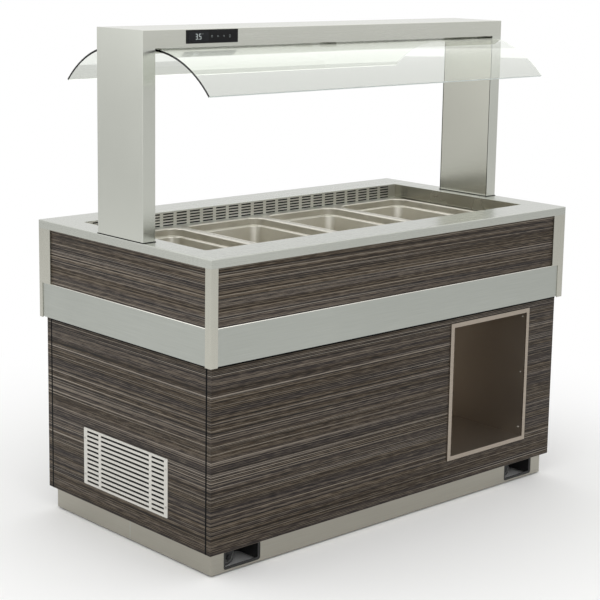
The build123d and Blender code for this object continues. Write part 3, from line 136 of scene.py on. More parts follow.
def brushed_steel(name, shade, gleam, roughness, upright=False, scratch=1.6, streak=140.0):
    """Stainless sheet ground with a fine belt: a satin sheen drawn out in long faint scratches.
    Real scratches are finer than a tenth of a millimetre, so they are drawn coarser to show.
    A scratch's width and a streak's length are in millimetres."""
    material, tree, surface = start_material(name, shade, 1.0, roughness)
    across, along = per_metre(scratch), per_metre(streak)
    place = add_node(tree, "ShaderNodeTexCoord")
    wall_scale = (across, across, along) if upright else (along, along, across)
    on_walls = add_node(
        tree, "ShaderNodeMapping", {"Scale": wall_scale}, {"Vector": place.outputs["Object"]})
    on_tops = add_node(
        tree, "ShaderNodeMapping", {"Scale": (along, across, along)}, {"Vector": place.outputs["Object"]})
    facing = add_node(tree, "ShaderNodeSeparateXYZ", links={"Vector": place.outputs["Normal"]})
    slope = add_node(tree, "ShaderNodeMath", links={0: facing.outputs["Z"]}, operation="ABSOLUTE")
    level = add_node(
        tree, "ShaderNodeMath", {1: LEVEL_SLOPE}, {0: slope.outputs[0]}, operation="GREATER_THAN")
    grain = add_node(
        tree, "ShaderNodeMix", data_type="VECTOR",
        links={
            MIX_FACTOR: level.outputs[0],
            MIX_VECTOR_A: on_walls.outputs[0],
            MIX_VECTOR_B: on_tops.outputs[0],
        })
    scratches = add_node(
        tree, "ShaderNodeTexNoise", {"Scale": 1.0, "Detail": 3.0, "Roughness": 0.6},
        {"Vector": grain.outputs[MIX_VECTOR_OUT]})
    clouds = add_node(
        tree, "ShaderNodeTexNoise", {"Scale": per_metre(CLOUD_SIZE), "Detail": 2.0},
        {"Vector": place.outputs["Object"]})
    tone = add_node(
        tree, "ShaderNodeMath", {1: SCRATCH_SHARE}, {0: scratches.outputs["Fac"]}, operation="MULTIPLY")
    tone = add_node(
        tree, "ShaderNodeMath", {1: CLOUD_SHARE}, {0: clouds.outputs["Fac"], 2: tone.outputs[0]},
        operation="MULTIPLY_ADD")
    spread = add_node(
        tree, "ShaderNodeMapRange", {"From Min": NOISE_LOW, "From Max": NOISE_HIGH},
        {"Value": tone.outputs[0]})
    colour = add_node(
        tree, "ShaderNodeMix", {MIX_COLOUR_A: linear(shade), MIX_COLOUR_B: linear(gleam)},
        {MIX_FACTOR: spread.outputs[0]}, data_type="RGBA")
    polish = add_node(
        tree, "ShaderNodeMapRange", {"To Min": roughness - SMOOTHER, "To Max": roughness + ROUGHER},
        {"Value": spread.outputs[0]})
    relief = add_node(
        tree, "ShaderNodeBump", {"Strength": SCRATCH_STRENGTH, "Distance": SCRATCH_DEPTH},
        {"Height": scratches.outputs["Fac"]})
    tree.links.new(colour.outputs[MIX_COLOUR_OUT], surface.inputs["Base Color"])
    tree.links.new(polish.outputs[0], surface.inputs["Roughness"])
    tree.links.new(relief.outputs[0], surface.inputs["Normal"])
    return material


# Height and length, in millimetres, of the marks in each layer of the laminate's print
PRINT_LAYERS = {
    "fine": (1.9, 4000.0), "thick": (2.7, 6000.0), "dashes": (1.9, 40.0),
    "fade": (9.0, 380.0), "belts": (26.0, 3600.0), "threads": (2.7, 2500.0),
}
THICK_SHARE, DASH_SHARE = 0.55, 0.6
LINES_FAINT, LINES_STRONG = 0.95, 1.35
BELT_WARM, BELT_COOL = 0.42, 0.58
# Where the marks of a colour begin, where they are full, and how much of the ground they then cover
PALE_MARKS = (0.33, 0.52, 0.75)
DARK_MARKS = (0.32, 0.14, 0.92)
THREAD_MARKS = (0.62, 0.7, 0.6)
LAMINATE_SMOOTH, LAMINATE_ROUGH = 0.44, 0.58
LAMINATE_GLEAM = 0.2
PRINT_RELIEF, PRINT_STRENGTH = 0.08 * MM, 0.15


def print_over(tree, ground, ink, pattern, marks):
    """Prints one colour on a ground, as a pattern passes from where its marks begin to their full."""
    begin, full, cover = marks
    amount = add_node(
        tree, "ShaderNodeMapRange", {"From Min": begin, "From Max": full, "To Max": cover},
        {"Value": pattern})
    printed = add_node(
        tree, "ShaderNodeMix", {MIX_COLOUR_B: linear(ink)},
        {MIX_FACTOR: amount.outputs[0], MIX_COLOUR_A: ground}, data_type="RGBA")
    return printed.outputs[MIX_COLOUR_OUT]


def streaked_laminate():
    """High pressure laminate with a fine-line wood print: dark umber in warm and cool belts, crossed by
    close level lines, nearly black and grey-brown by turns, that fade in and out along the board, with a
    pale thread here and there, under a dull brushed skin.
    The finest printed lines are under a millimetre, so they are drawn three times coarser to show."""
    warm, cool, pale, dark, thread = "#33281a", "#312a27", "#71675a", "#040303", "#aaa195"
    material, tree, surface = start_material("laminate_fine_line", warm, 0.0, 0.5)
    surface.inputs["Specular IOR Level"].default_value = LAMINATE_GLEAM
    place = add_node(tree, "ShaderNodeTexCoord")
    layers = {}
    for layer_name, (height, length) in PRINT_LAYERS.items():
        along, across = per_metre(length), per_metre(height)
        stretch = add_node(
            tree, "ShaderNodeMapping", {"Scale": (along, along, across), "Location": (height, length, 0)},
            {"Vector": place.outputs["Object"]})
        noise = add_node(
            tree, "ShaderNodeTexNoise", {"Scale": 1.0, "Detail": 1.0, "Roughness": 0.5},
            {"Vector": stretch.outputs[0]})
        layers[layer_name] = noise.outputs["Fac"]
    lines = add_node(
        tree, "ShaderNodeMath", {1: THICK_SHARE}, {0: layers["thick"], 2: layers["fine"]},
        operation="MULTIPLY_ADD")
    lines = add_node(
        tree, "ShaderNodeMath", {1: -(1.0 + THICK_SHARE) / 2}, {0: lines.outputs[0]}, operation="ADD")
    strength = add_node(
        tree, "ShaderNodeMapRange",
        {"From Min": NOISE_LOW, "From Max": NOISE_HIGH, "To Min": LINES_FAINT, "To Max": LINES_STRONG},
        {"Value": layers["fade"]})
    lines = add_node(
        tree, "ShaderNodeMath", links={0: lines.outputs[0], 1: strength.outputs[0]}, operation="MULTIPLY")
    tone = add_node(
        tree, "ShaderNodeMath", {1: DASH_SHARE}, {0: layers["dashes"], 2: lines.outputs[0]},
        operation="MULTIPLY_ADD").outputs[0]
    belts = add_node(
        tree, "ShaderNodeMapRange", {"From Min": BELT_WARM, "From Max": BELT_COOL},
        {"Value": layers["belts"]})
    ground = add_node(
        tree, "ShaderNodeMix", {MIX_COLOUR_A: linear(warm), MIX_COLOUR_B: linear(cool)},
        {MIX_FACTOR: belts.outputs[0]}, data_type="RGBA")
    colour = ground.outputs[MIX_COLOUR_OUT]
    colour = print_over(tree, colour, pale, tone, PALE_MARKS)
    colour = print_over(tree, colour, dark, tone, DARK_MARKS)
    colour = print_over(tree, colour, thread, layers["threads"], THREAD_MARKS)
    sheen = add_node(
        tree, "ShaderNodeMapRange", {"To Min": LAMINATE_SMOOTH, "To Max": LAMINATE_ROUGH},
        {"Value": layers["fine"]})
    relief = add_node(
        tree, "ShaderNodeBump", {"Strength": PRINT_STRENGTH, "Distance": PRINT_RELIEF}, {"Height": tone})
    tree.links.new(colour, surface.inputs["Base Color"])
    tree.links.new(sheen.outputs[0], surface.inputs["Roughness"])
    tree.links.new(relief.outputs[0], surface.inputs["Normal"])
    return material


RELIEF_STRENGTH = 0.4


def mottled(name, shade, other, metallic, roughness, grain, relief_depth=0.0, rough_spread=0.06):
    """A finish whose colour and gloss wander between two close shades over spots of one real size.
    The spots' grain and the depth of the relief are in millimetres."""
    material, tree, surface = start_material(name, shade, metallic, roughness)
    place = add_node(tree, "ShaderNodeTexCoord")
    spots = add_node(
        tree, "ShaderNodeTexNoise", {"Scale": per_metre(grain), "Detail": 3.0, "Roughness": 0.6},
        {"Vector": place.outputs["Object"]})
    spread = add_node(
        tree, "ShaderNodeMapRange", {"From Min": NOISE_LOW, "From Max": NOISE_HIGH},
        {"Value": spots.outputs["Fac"]})
    colour = add_node(
        tree, "ShaderNodeMix", {MIX_COLOUR_A: linear(shade), MIX_COLOUR_B: linear(other)},
        {MIX_FACTOR: spread.outputs[0]}, data_type="RGBA")
    gloss = add_node(
        tree, "ShaderNodeMapRange", {"To Min": roughness - rough_spread, "To Max": roughness + rough_spread},
        {"Value": spread.outputs[0]})
    tree.links.new(colour.outputs[MIX_COLOUR_OUT], surface.inputs["Base Color"])
    tree.links.new(gloss.outputs[0], surface.inputs["Roughness"])
    if relief_depth:
        bump = add_node(
            tree, "ShaderNodeBump", {"Strength": RELIEF_STRENGTH, "Distance": relief_depth * MM},
            {"Height": spots.outputs["Fac"]})
        tree.links.new(bump.outputs[0], surface.inputs["Normal"])
    return material


GLASS_IOR = 1.45
EDGE_OUTWARDS, EDGE_DOWNWARDS = 0.1, -0.3
EDGE_CLEARNESS, EDGE_FROST = 0.25, 0.5


def sheet_glass():
    """Bent float glass 6 mm thick: clear with a pale green cast through its face, with a ground long edge
    that scatters the light to a pale line."""
    face, edge = "#f2f5ef", "#e3ece8"
    material, tree, surface = start_material("float_glass", face, 0.0, 0.0)
    surface.inputs["IOR"].default_value = GLASS_IOR
    place = add_node(tree, "ShaderNodeTexCoord")
    spot = add_node(tree, "ShaderNodeSeparateXYZ", links={"Vector": place.outputs["Object"]})
    facing = add_node(tree, "ShaderNodeSeparateXYZ", links={"Vector": place.outputs["Normal"]})
    outwards = add_node(
        tree, "ShaderNodeMath", links={0: spot.outputs["Y"], 1: facing.outputs["Y"]}, operation="MULTIPLY")
    outer = add_node(
        tree, "ShaderNodeMath", {1: EDGE_OUTWARDS}, {0: outwards.outputs[0]}, operation="GREATER_THAN")
    down = add_node(
        tree, "ShaderNodeMath", {1: EDGE_DOWNWARDS}, {0: facing.outputs["Z"]}, operation="LESS_THAN")
    ground_edge = add_node(
        tree, "ShaderNodeMath", links={0: outer.outputs[0], 1: down.outputs[0]}, operation="MULTIPLY")
    colour = add_node(
        tree, "ShaderNodeMix", {MIX_COLOUR_A: linear(face), MIX_COLOUR_B: linear(edge)},
        {MIX_FACTOR: ground_edge.outputs[0]}, data_type="RGBA")
    clearness = add_node(
        tree, "ShaderNodeMapRange", {"To Min": 1.0, "To Max": EDGE_CLEARNESS},
        {"Value": ground_edge.outputs[0]})
    frost = add_node(
        tree, "ShaderNodeMapRange", {"To Min": 0.0, "To Max": EDGE_FROST},
        {"Value": ground_edge.outputs[0]})
    tree.links.new(colour.outputs[MIX_COLOUR_OUT], surface.inputs["Base Color"])
    tree.links.new(clearness.outputs[0], surface.inputs["Transmission Weight"])
    tree.links.new(frost.outputs[0], surface.inputs["Roughness"])
    return material


def lit(material, colour, strength):
    """Lets a finish give off a little light of its own."""
    surface = material.node_tree.nodes["Principled BSDF"]
    surface.inputs["Emission Color"].default_value = linear(colour)
    surface.inputs["Emission Strength"].default_value = strength
    return material


def dulled(material, gleam):
    """Lets a finish give back less of the room than its bare surface would."""
    material.node_tree.nodes["Principled BSDF"].inputs["Specular IOR Level"].default_value = gleam
    return material


# Ground stainless sheet of the worktop, the canopy and the bands: a soft sheen with level lines
# The worktop's sheet is a lighter shade than the bands', for the light that its top catches: painted light
steel_top_painted_light = brushed_steel("stainless_worktop_painted_light", "#b4b6af", "#bbbdb6", roughness=0.27)
steel_canopy = brushed_steel("stainless_canopy", "#c2c3ba", "#c8c9c1", roughness=0.25)
steel_band = brushed_steel("stainless_belt_ground", "#a4a7a1", "#b0b3ad", roughness=0.36)
# The same sheet with its grain upright, a little brighter: posts, columns and covers
steel_post = brushed_steel("stainless_post", "#b5b4aa", "#bcbbb1", roughness=0.25, upright=True)
steel_column = brushed_steel("stainless_column", "#c7c9c1", "#cbcdc5", roughness=0.2, upright=True)
steel_cover = brushed_steel("stainless_cover", "#b9b9af", "#bfbfb5", roughness=0.2, upright=True)
# Plinth sheet, left dull and a little darker
steel_plinth = brushed_steel("stainless_dull_plinth", "#a29f95", "#aca99f", roughness=0.42)
# Cold rolled sheet in the well: dull, with short faint lines, and paler than the liner for the light that
# falls into the well from above: painted light
steel_well_painted_light = brushed_steel(
    "stainless_well_2b_painted_light", "#cacac3", "#d4d4cd", roughness=0.42, scratch=2.5, streak=60.0)
# Roll along the bands, in a lighter steel than the bands: a painted highlight line
steel_bead_painted_highlight = brushed_steel("stainless_bead_painted_highlight", "#dedcd4", "#e6e4dc", roughness=0.2)
# Trim of the niche, ground fine and half bright, with a warm grey-brown cast that paints the reflection of
# its surroundings
steel_trim_painted_reflection = brushed_steel("stainless_trim_painted_reflection", "#9b9185", "#a99f93", roughness=0.28)
# Annealed lining of the niche, smooth but not polished: it gives back the room as a blur
steel_niche = mottled(
    "stainless_niche_bright", "#a79e93", "#ada499", metallic=1.0, roughness=0.42, grain=150.0,
    rough_spread=0.03)
# Cold rolled liner of the well, smooth and half bright
steel_liner = mottled(
    "stainless_liner_2b", "#a09e92", "#a8a69a", metallic=1.0, roughness=0.26, grain=120.0, rough_spread=0.03)
# Deep drawn pans: satin with soft cloudy marks from the press
steel_pan = mottled(
    "stainless_deep_drawn", "#c6c3b9", "#cecbc1", metallic=1.0, roughness=0.35, grain=60.0)
laminate = streaked_laminate()
# Powder coat cured to a fine orange peel: off-white, dull, very slightly dimpled
white_coat = mottled(
    "powder_coat_off_white", "#c9c7c0", "#c1bfb8", metallic=0.0, roughness=0.45, grain=1.2,
    relief_depth=0.05)
# Zinc plated steel screws: bright with a faint warm cast
screw_zinc = mottled("zinc_plated_screw", "#b9b7b0", "#cfcdc7", metallic=1.0, roughness=0.32, grain=1.5)
# Black powder coat on the welded frame: dull, slightly grainy
frame_coat = mottled(
    "powder_coat_black", "#1d1e1f", "#292a2b", metallic=0.0, roughness=0.55, grain=1.2, relief_depth=0.06)
# Sprayed polyurethane foam, cut flat: warm yellow with open cells
foam = mottled(
    "polyurethane_foam", "#d8c48c", "#c7b176", metallic=0.0, roughness=0.95, grain=2.0, relief_depth=0.4)
# Zinc plated pressings: cool grey with soft crystals
zinc = mottled("zinc_plated_pressing", "#8e9396", "#a7abad", metallic=1.0, roughness=0.38, grain=9.0)
# Grey rubber of a non-marking tyre: dull with a little bloom
rubber = mottled(
    "grey_rubber", "#4b4c4c", "#585959", metallic=0.0, roughness=0.75, grain=3.0, relief_depth=0.05)
# Moulded polypropylene of the wheel's core: mid grey, waxy
core_plastic = mottled(
    "polypropylene_grey", "#6f706e", "#7c7d7a", metallic=0.0, roughness=0.42, grain=2.0, relief_depth=0.02)
glass = sheet_glass()
# Moulded black ABS with a fine spark-eroded grain
black_plastic = mottled(
    "abs_black_grained", "#151616", "#202122", metallic=0.0, roughness=0.5, grain=0.8, relief_depth=0.04)
# Acrylic front of the controller, back printed black: deep gloss
black_acrylic = mottled(
    "acrylic_black_gloss", "#0b0b0d", "#111114", metallic=0.0, roughness=0.12, grain=30.0, rough_spread=0.04)
# Opal acrylic cover of the lamp, softly alight
opal = lit(
    mottled("acrylic_opal", "#f3f1ea", "#e9e7e0", metallic=0.0, roughness=0.35, grain=20.0),
    "#fff6e6", strength=0.6)
# Drawn copper tube, a little tarnished
copper = mottled("copper_tube", "#b4694a", "#8f5238", metallic=1.0, roughness=0.3, grain=25.0)
# Black stove enamel on the compressor's shell
compressor_enamel = mottled(
    "stove_enamel_black", "#101112", "#18191a", metallic=0.0, roughness=0.3, grain=15.0, relief_depth=0.05)
# Mill-finish aluminium fins
fin_aluminium = mottled(
    "aluminium_fin_stock", "#b9bcbf", "#cdd0d2", metallic=1.0, roughness=0.35, grain=6.0)
# Cast and turned brass of the drain valve
brass = mottled("brass_turned", "#b08d4a", "#c5a35d", metallic=1.0, roughness=0.3, grain=8.0)
# Red vinyl sleeve on the lever
red_vinyl = mottled(
    "vinyl_red", "#b3261f", "#a01f1a", metallic=0.0, roughness=0.4, grain=4.0, relief_depth=0.03)
# Pale grey print that is lit from behind
display_print = lit(
    mottled("display_print_grey", "#b9c0c0", "#a9b0b0", metallic=0.0, roughness=0.5, grain=5.0),
    "#c9d2d2", strength=0.25)
# The same print over the touch keys, dimmer
key_print = lit(
    mottled("key_print_grey", "#7d8383", "#707676", metallic=0.0, roughness=0.5, grain=5.0),
    "#c9d2d2", strength=0.05)
# Smoked acrylic over the reading: deep gloss, a shade lighter than the panel
smoked_acrylic = mottled(
    "acrylic_smoked", "#141518", "#1a1b1f", metallic=0.0, roughness=0.08, grain=30.0, rough_spread=0.03)
# Printed on the back, these two give back less of the room than bare acrylic
for dark_gloss in (black_acrylic, smoked_acrylic):
    dulled(dark_gloss, gleam=0.2)
# Black silicone in the joints of the boards; the same black makes the strips under the steel, which are
# painted shade: a dull skin that gives back little light
silicone_and_shade = dulled(
    mottled("silicone_black_and_painted_shade", "#040404", "#090909", metallic=0.0, roughness=0.7, grain=6.0),
    gleam=0.1)
# Reticulated polyurethane foam: black, matt, open cells of about 2 mm
black_foam = mottled(
    "reticulated_foam_black", "#060606", "#0e0e0d", metallic=0.0, roughness=0.95, grain=2.0,
    relief_depth=0.8)

FINISHES = (
    (steel_top_painted_light, ("worktop",)),
    (steel_canopy, ("canopy_shell", "canopy_soffit", "glass_clamps")),
    (steel_band, ("long_bands", "end_bands")),
    (steel_post, ("corner_posts",)),
    (steel_column, ("column_left", "column_right")),
    (steel_cover, ("column_covers",)),
    (steel_plinth, ("plinth_sides", "plinth_ends")),
    (steel_liner, ("well_liner",)),
    (steel_well_painted_light, (
        "air_intake_wall", "air_outlet_wall", "pan_dividers", "evaporator_fan_deck", "tub_casing")),
    (steel_pan, ("gn_pan_1", "gn_pan_2", "gn_pan_3", "gn_pan_4")),
    (steel_niche, ("niche_liner",)),
    (steel_trim_painted_reflection, ("niche_trim",)),
    (laminate, (
        "front_panel", "rear_panel", "left_panel", "right_panel", "upper_long_panels", "upper_end_panels")),
    (white_coat, ("machine_grille",)),
    (screw_zinc, ("grille_screws",)),
    (frame_coat, (
        "chassis_frame", "electrical_box", "machine_floor", *(f"caster_fork_{c}" for c in CASTER_CORNERS))),
    (foam, ("tub_insulation",)),
    (zinc, ("caster_plates",)),
    (rubber, tuple(f"caster_wheel_{c}" for c in CASTER_CORNERS)),
    (glass, ("glass_front", "glass_rear")),
    (black_plastic, (
        "cable_gland", "condenser_fan_housing", "condenser_fan", "evaporator_fan_left",
        "evaporator_fan_right")),
    (black_acrylic, ("control_panel",)),
    (opal, ("lamp_diffuser",)),
    (copper, ("refrigerant_lines",)),
    (compressor_enamel, ("compressor",)),
    (fin_aluminium, ("condenser_coil", "evaporator_coil")),
    (brass, ("drain_valve",)),
    (red_vinyl, ("drain_lever",)),
)
for finish, members in FINISHES:
    for member in members:
        covered = nodes[member].data
        covered.materials.clear()
        covered.materials.append(finish)


# Ways of working on a new piece

# A face looks along an axis when this much of its normal points that way
FACING = 0.9
MERGE_DISTANCE = 0.01 * MM
# Angles in degrees below which the faces of a piece are shaded as one
SMOOTH_MOULDED, SMOOTH_STRIP, SMOOTH_SCREW, SMOOTH_PRINT = 35.0, 60.0, 25.0, 20.0


def clear_hands():
    """Leaves edit mode and lets go of everything, so that the next operator acts on its own piece alone."""
    if bpy.context.object and bpy.context.object.mode != "OBJECT":
        bpy.ops.object.mode_set(mode="OBJECT")
    bpy.ops.object.select_all(action="DESELECT")


def pick_faces(test):
    """In edit mode, selects the faces whose centre and normal pass the test."""
    bpy.ops.mesh.select_mode(type="FACE")
    bpy.ops.mesh.select_all(action="DESELECT")
    mesh = bpy.context.object.data
    shape = bmesh.from_edit_mesh(mesh)
    for face in shape.faces:
        face.select_set(test(face.calc_center_median(), face.normal))
    bmesh.update_edit_mesh(mesh)


def pick_edges(test):
    """In edit mode, selects the edges whose two ends pass the test."""
    bpy.ops.mesh.select_mode(type="EDGE")
    bpy.ops.mesh.select_all(action="DESELECT")
    mesh = bpy.context.object.data
    shape = bmesh.from_edit_mesh(mesh)
    for edge in shape.edges:
        edge.select_set(test(edge.verts[0].co, edge.verts[1].co))
    bmesh.update_edit_mesh(mesh)


def pick_points(test):
    """In edit mode, selects the points whose place passes the test."""
    bpy.ops.mesh.select_mode(type="VERT")
    bpy.ops.mesh.select_all(action="DESELECT")
    mesh = bpy.context.object.data
    shape = bmesh.from_edit_mesh(mesh)
    for point in shape.verts:
        point.select_set(test(point.co))
    bmesh.update_edit_mesh(mesh)


def apply_place():
    """Puts the piece's place, turn and size in its mesh."""
    bpy.ops.object.mode_set(mode="OBJECT")
    bpy.ops.object.transform_apply(location=True, rotation=True, scale=True)


def start_block(low, high):
    """Begins a piece as a block between two corners, in edit mode."""
    clear_hands()
    bpy.ops.mesh.primitive_cube_add(size=1.0, location=(low + high) / 2)
    bpy.context.object.scale = high - low
    apply_place()
    bpy.ops.object.mode_set(mode="EDIT")


def keep_piece(name, finish, body, smooth_degrees=SMOOTH_MOULDED):
    """Names the piece that was just modelled, gives it its finish and lets it ride on its body."""
    apply_place()
    piece = bpy.context.object
    piece.name = name
    piece.data.name = name
    piece.data.materials.clear()
    piece.data.materials.append(finish)
    bpy.ops.object.shade_smooth_by_angle(angle=math.radians(smooth_degrees))
    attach(piece, body)
    return piece


def copy_piece(piece, name, move, body):
    """A copy with its own mesh, moved in its mesh, that rides on the body it is given."""
    twin = piece.copy()
    twin.data = piece.data.copy()
    twin.name = name
    twin.data.name = name
    scene.collection.objects.link(twin)
    twin.data.transform(Matrix.Translation(move))
    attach(twin, body)
    return twin


# Caster wheels: a tyre on a ribbed core

TYRE_STEPS = 72
CORE_RADIUS = 20 * MM
TYRE_SHOULDER = 4 * MM
RIM_WALL, RIM_TAPER = 2.5 * MM, 0.6 * MM
DISH_DEPTH = 5 * MM
HUB_RADIUS, HUB_TAPER = 9 * MM, 0.5 * MM
BORE_RADIUS = 4.3 * MM
CORE_SETBACK = 1.0 * MM
RIB_COUNT = 6
RIB_THICK = 2.4 * MM
RIB_BITE, RIB_EDGE = 0.5 * MM, 0.5 * MM
RIB_LIFT, RIB_SETBACK = 1.0 * MM, 1.5 * MM


def model_tyre(centre, radius, width):
    """A rubber ring with rounded shoulders, spun around the axle."""
    clear_hands()
    wall = radius - CORE_RADIUS
    middle = centre + Vector((0, 0, CORE_RADIUS + wall / 2))
    bpy.ops.mesh.primitive_plane_add(size=1.0, location=middle, rotation=(0, QUARTER_TURN, 0))
    bpy.context.object.scale = (wall, width, 1.0)
    apply_place()
    bpy.ops.object.mode_set(mode="EDIT")
    pick_points(lambda point: point.z > middle.z)
    bpy.ops.mesh.bevel(offset=TYRE_SHOULDER, segments=5, affect="VERTICES")
    bpy.ops.mesh.select_all(action="SELECT")
    bpy.ops.mesh.delete(type="ONLY_FACE")
    bpy.ops.mesh.select_all(action="SELECT")
    bpy.ops.mesh.spin(steps=TYRE_STEPS, angle=FULL_TURN, center=centre, axis=(0, 1, 0))
    bpy.ops.mesh.select_all(action="SELECT")
    bpy.ops.mesh.remove_doubles(threshold=MERGE_DISTANCE)
    bpy.ops.mesh.normals_make_consistent(inside=False)


def model_core(centre, width):
    """A wheel's core with a dish on each side, a bored hub and ribs from the hub to the rim."""
    clear_hands()
    bpy.ops.mesh.primitive_cylinder_add(
        vertices=TYRE_STEPS, radius=CORE_RADIUS, depth=width - CORE_SETBACK, location=centre,
        rotation=(QUARTER_TURN, 0, 0))
    apply_place()
    bpy.ops.object.mode_set(mode="EDIT")
    pick_faces(lambda middle, normal: abs(normal.y) > FACING)
    bpy.ops.mesh.inset(thickness=RIM_WALL, depth=0.0)
    bpy.ops.mesh.inset(thickness=RIM_TAPER, depth=-DISH_DEPTH)
    bpy.ops.mesh.inset(thickness=CORE_RADIUS - RIM_WALL - RIM_TAPER - HUB_RADIUS, depth=0.0)
    bpy.ops.mesh.inset(thickness=HUB_TAPER, depth=DISH_DEPTH)
    bpy.ops.mesh.inset(thickness=HUB_RADIUS - HUB_TAPER - BORE_RADIUS, depth=0.0)
    bpy.ops.mesh.bridge_edge_loops()
    rib_length = CORE_RADIUS - RIM_WALL - HUB_RADIUS + 2 * RIB_BITE
    for side in (-1, 1):
        lift = side * (width / 2 - DISH_DEPTH + RIB_LIFT)
        rib_middle = centre + Vector((HUB_RADIUS + rib_length / 2 - RIB_BITE, lift, 0))
        bpy.ops.mesh.select_all(action="DESELECT")
        bpy.ops.mesh.primitive_cube_add(size=1.0, location=rib_middle)
        bpy.ops.transform.resize(
            value=(rib_length, DISH_DEPTH - RIB_SETBACK, RIB_THICK), center_override=rib_middle)
        bpy.ops.mesh.bevel(offset=RIB_EDGE, segments=2, affect="EDGES")
        bpy.ops.mesh.select_linked()
        bpy.ops.mesh.spin(
            steps=RIB_COUNT, angle=FULL_TURN, center=centre, axis=(0, 1, 0), dupli=True)
        bpy.ops.mesh.select_all(action="SELECT")
        bpy.ops.mesh.remove_doubles(threshold=MERGE_DISTANCE)


first_low, first_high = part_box("caster_wheel_front_left")
first_centre = (first_low + first_high) / 2
wheel_radius = (first_high.z - first_low.z) / 2
wheel_width = first_high.y - first_low.y
model_tyre(first_centre, wheel_radius, wheel_width)
first_tyre = keep_piece("caster_tyre_front_left", rubber, "wheel_front_left")
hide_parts("caster_wheel_front_left")
model_core(first_centre, wheel_width)
first_core = keep_piece("caster_core_front_left", core_plastic, "wheel_front_left")
for corner_name in CASTER_CORNERS[1:]:
    low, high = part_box(f"caster_wheel_{corner_name}")
    move = (low + high) / 2 - first_centre
    wheel_body = f"wheel_{corner_name}"
    tyre = copy_piece(first_tyre, f"caster_tyre_{corner_name}", move, wheel_body)
    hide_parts(f"caster_wheel_{corner_name}")
    core = copy_piece(first_core, f"caster_core_{corner_name}", move, wheel_body)


# Black moulded pockets around the casters, behind the openings of the plinth: a dark sheet that paints the
# shade seen through the openings

PIVOT_X, PIVOT_Y = 601.5 * MM, 323.0 * MM
POCKET_HALF, POCKET_BACK = 72 * MM, 56 * MM
POCKET_BOTTOM, POCKET_TOP = 6 * MM, 95 * MM
POCKET_CORNER = 26 * MM
POCKET_WALL = 2 * MM
POCKET_RIM = 12 * MM
PLINTH_SHEET = 1.5 * MM
plinth_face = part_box("plinth_sides")[1].y


def model_pocket(low, high, side):
    """A wall around a caster, open above and below, with a window towards the plinth and rounded far
    corners."""
    start_block(low, high)
    pick_faces(lambda middle, normal: normal.y * side > FACING)
    bpy.ops.mesh.inset(thickness=POCKET_RIM, depth=0.0)
    bpy.ops.mesh.delete(type="FACE")
    pick_faces(lambda middle, normal: abs(normal.z) > FACING)
    bpy.ops.mesh.delete(type="FACE")
    far_y = low.y if side > 0 else high.y
    pick_edges(
        lambda one, other: abs(one.z - other.z) > POCKET_CORNER and abs(one.y - far_y) < POCKET_WALL)
    bpy.ops.mesh.bevel(offset=POCKET_CORNER, segments=8, affect="EDGES")
    bpy.ops.mesh.select_all(action="SELECT")
    bpy.ops.mesh.solidify(thickness=POCKET_WALL)
    bpy.ops.mesh.select_all(action="SELECT")
    bpy.ops.mesh.normals_make_consistent(inside=False)


for corner_name in CASTER_CORNERS:
    side_x = -1 if "left" in corner_name else 1
    side_y = -1 if "front" in corner_name else 1
    reach = sorted((side_y * (PIVOT_Y - POCKET_BACK), side_y * (plinth_face - PLINTH_SHEET)))
    model_pocket(
        Vector((side_x * PIVOT_X - POCKET_HALF, reach[0], POCKET_BOTTOM)),
        Vector((side_x * PIVOT_X + POCKET_HALF, reach[1], POCKET_TOP)), side_y)
    # Black, so that the openings show painted shade
    keep_piece(f"caster_shade_pocket_{corner_name}", black_plastic, "cabinet")


# Cross-recess screws on the grille

SCREW_RADIUS = 3.2 * MM
SCREW_DOME, SCREW_ROUND = 1.8 * MM, 1.2 * MM
SCREW_SIDES = 32
RECESS_LENGTH = 3.6 * MM
RECESS_WIDTH = 0.8 * MM
RECESS_DEPTH = 1.1 * MM


def model_screw(seat, turn):
    """A pan head on a seat at this point, its top turned from +Z by this rotation."""
    clear_hands()
    bpy.ops.mesh.primitive_cylinder_add(
        vertices=SCREW_SIDES, radius=SCREW_RADIUS, depth=SCREW_DOME, location=(0, 0, SCREW_DOME / 2))
    head = bpy.context.object
    apply_place()
    bpy.ops.object.mode_set(mode="EDIT")
    rim_height = 0.9 * SCREW_DOME
    pick_edges(lambda one, other: one.z > rim_height and other.z > rim_height)
    bpy.ops.mesh.bevel(offset=SCREW_ROUND, segments=5, affect="EDGES")
    bpy.ops.object.mode_set(mode="OBJECT")
    for spin_angle in (0.0, QUARTER_TURN):
        bpy.ops.object.select_all(action="DESELECT")
        bpy.ops.mesh.primitive_cube_add(size=1.0, location=(0, 0, SCREW_DOME), rotation=(0, 0, spin_angle))
        blade = bpy.context.object
        blade.scale = (RECESS_LENGTH, RECESS_WIDTH, 2 * RECESS_DEPTH)
        apply_place()
        bpy.context.view_layer.objects.active = head
        cut = head.modifiers.new("recess", "BOOLEAN")
        cut.operation = "DIFFERENCE"
        cut.object = blade
        bpy.ops.object.modifier_apply(modifier=cut.name)
        bpy.data.objects.remove(blade)
    head.select_set(True)
    head.rotation_euler = turn
    head.location = seat


FACE_LEFT = (0, -QUARTER_TURN, 0)
FACE_RIGHT = (0, QUARTER_TURN, 0)
screw_low, screw_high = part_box("grille_screws")
grille_low, grille_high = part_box("machine_grille")
screw_places = [
    Vector((grille_low.x, y, z))
    for y in (screw_low.y + SCREW_RADIUS, screw_high.y - SCREW_RADIUS)
    for z in (screw_low.z + SCREW_RADIUS, screw_high.z - SCREW_RADIUS)
]
model_screw(screw_places[0], FACE_LEFT)
first_screw = keep_piece("grille_screw_1", screw_zinc, "cabinet", SMOOTH_SCREW)
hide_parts("grille_screws")
for number, spot in enumerate(screw_places[1:], 2):
    screw = copy_piece(first_screw, f"grille_screw_{number}", spot - screw_places[0], "cabinet")


# The same screws in the side walls of the niche

niche_low, niche_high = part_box("niche_liner")
NICHE_SHEET = 1.2 * MM
NICHE_SCREW_SETBACK = 14 * MM
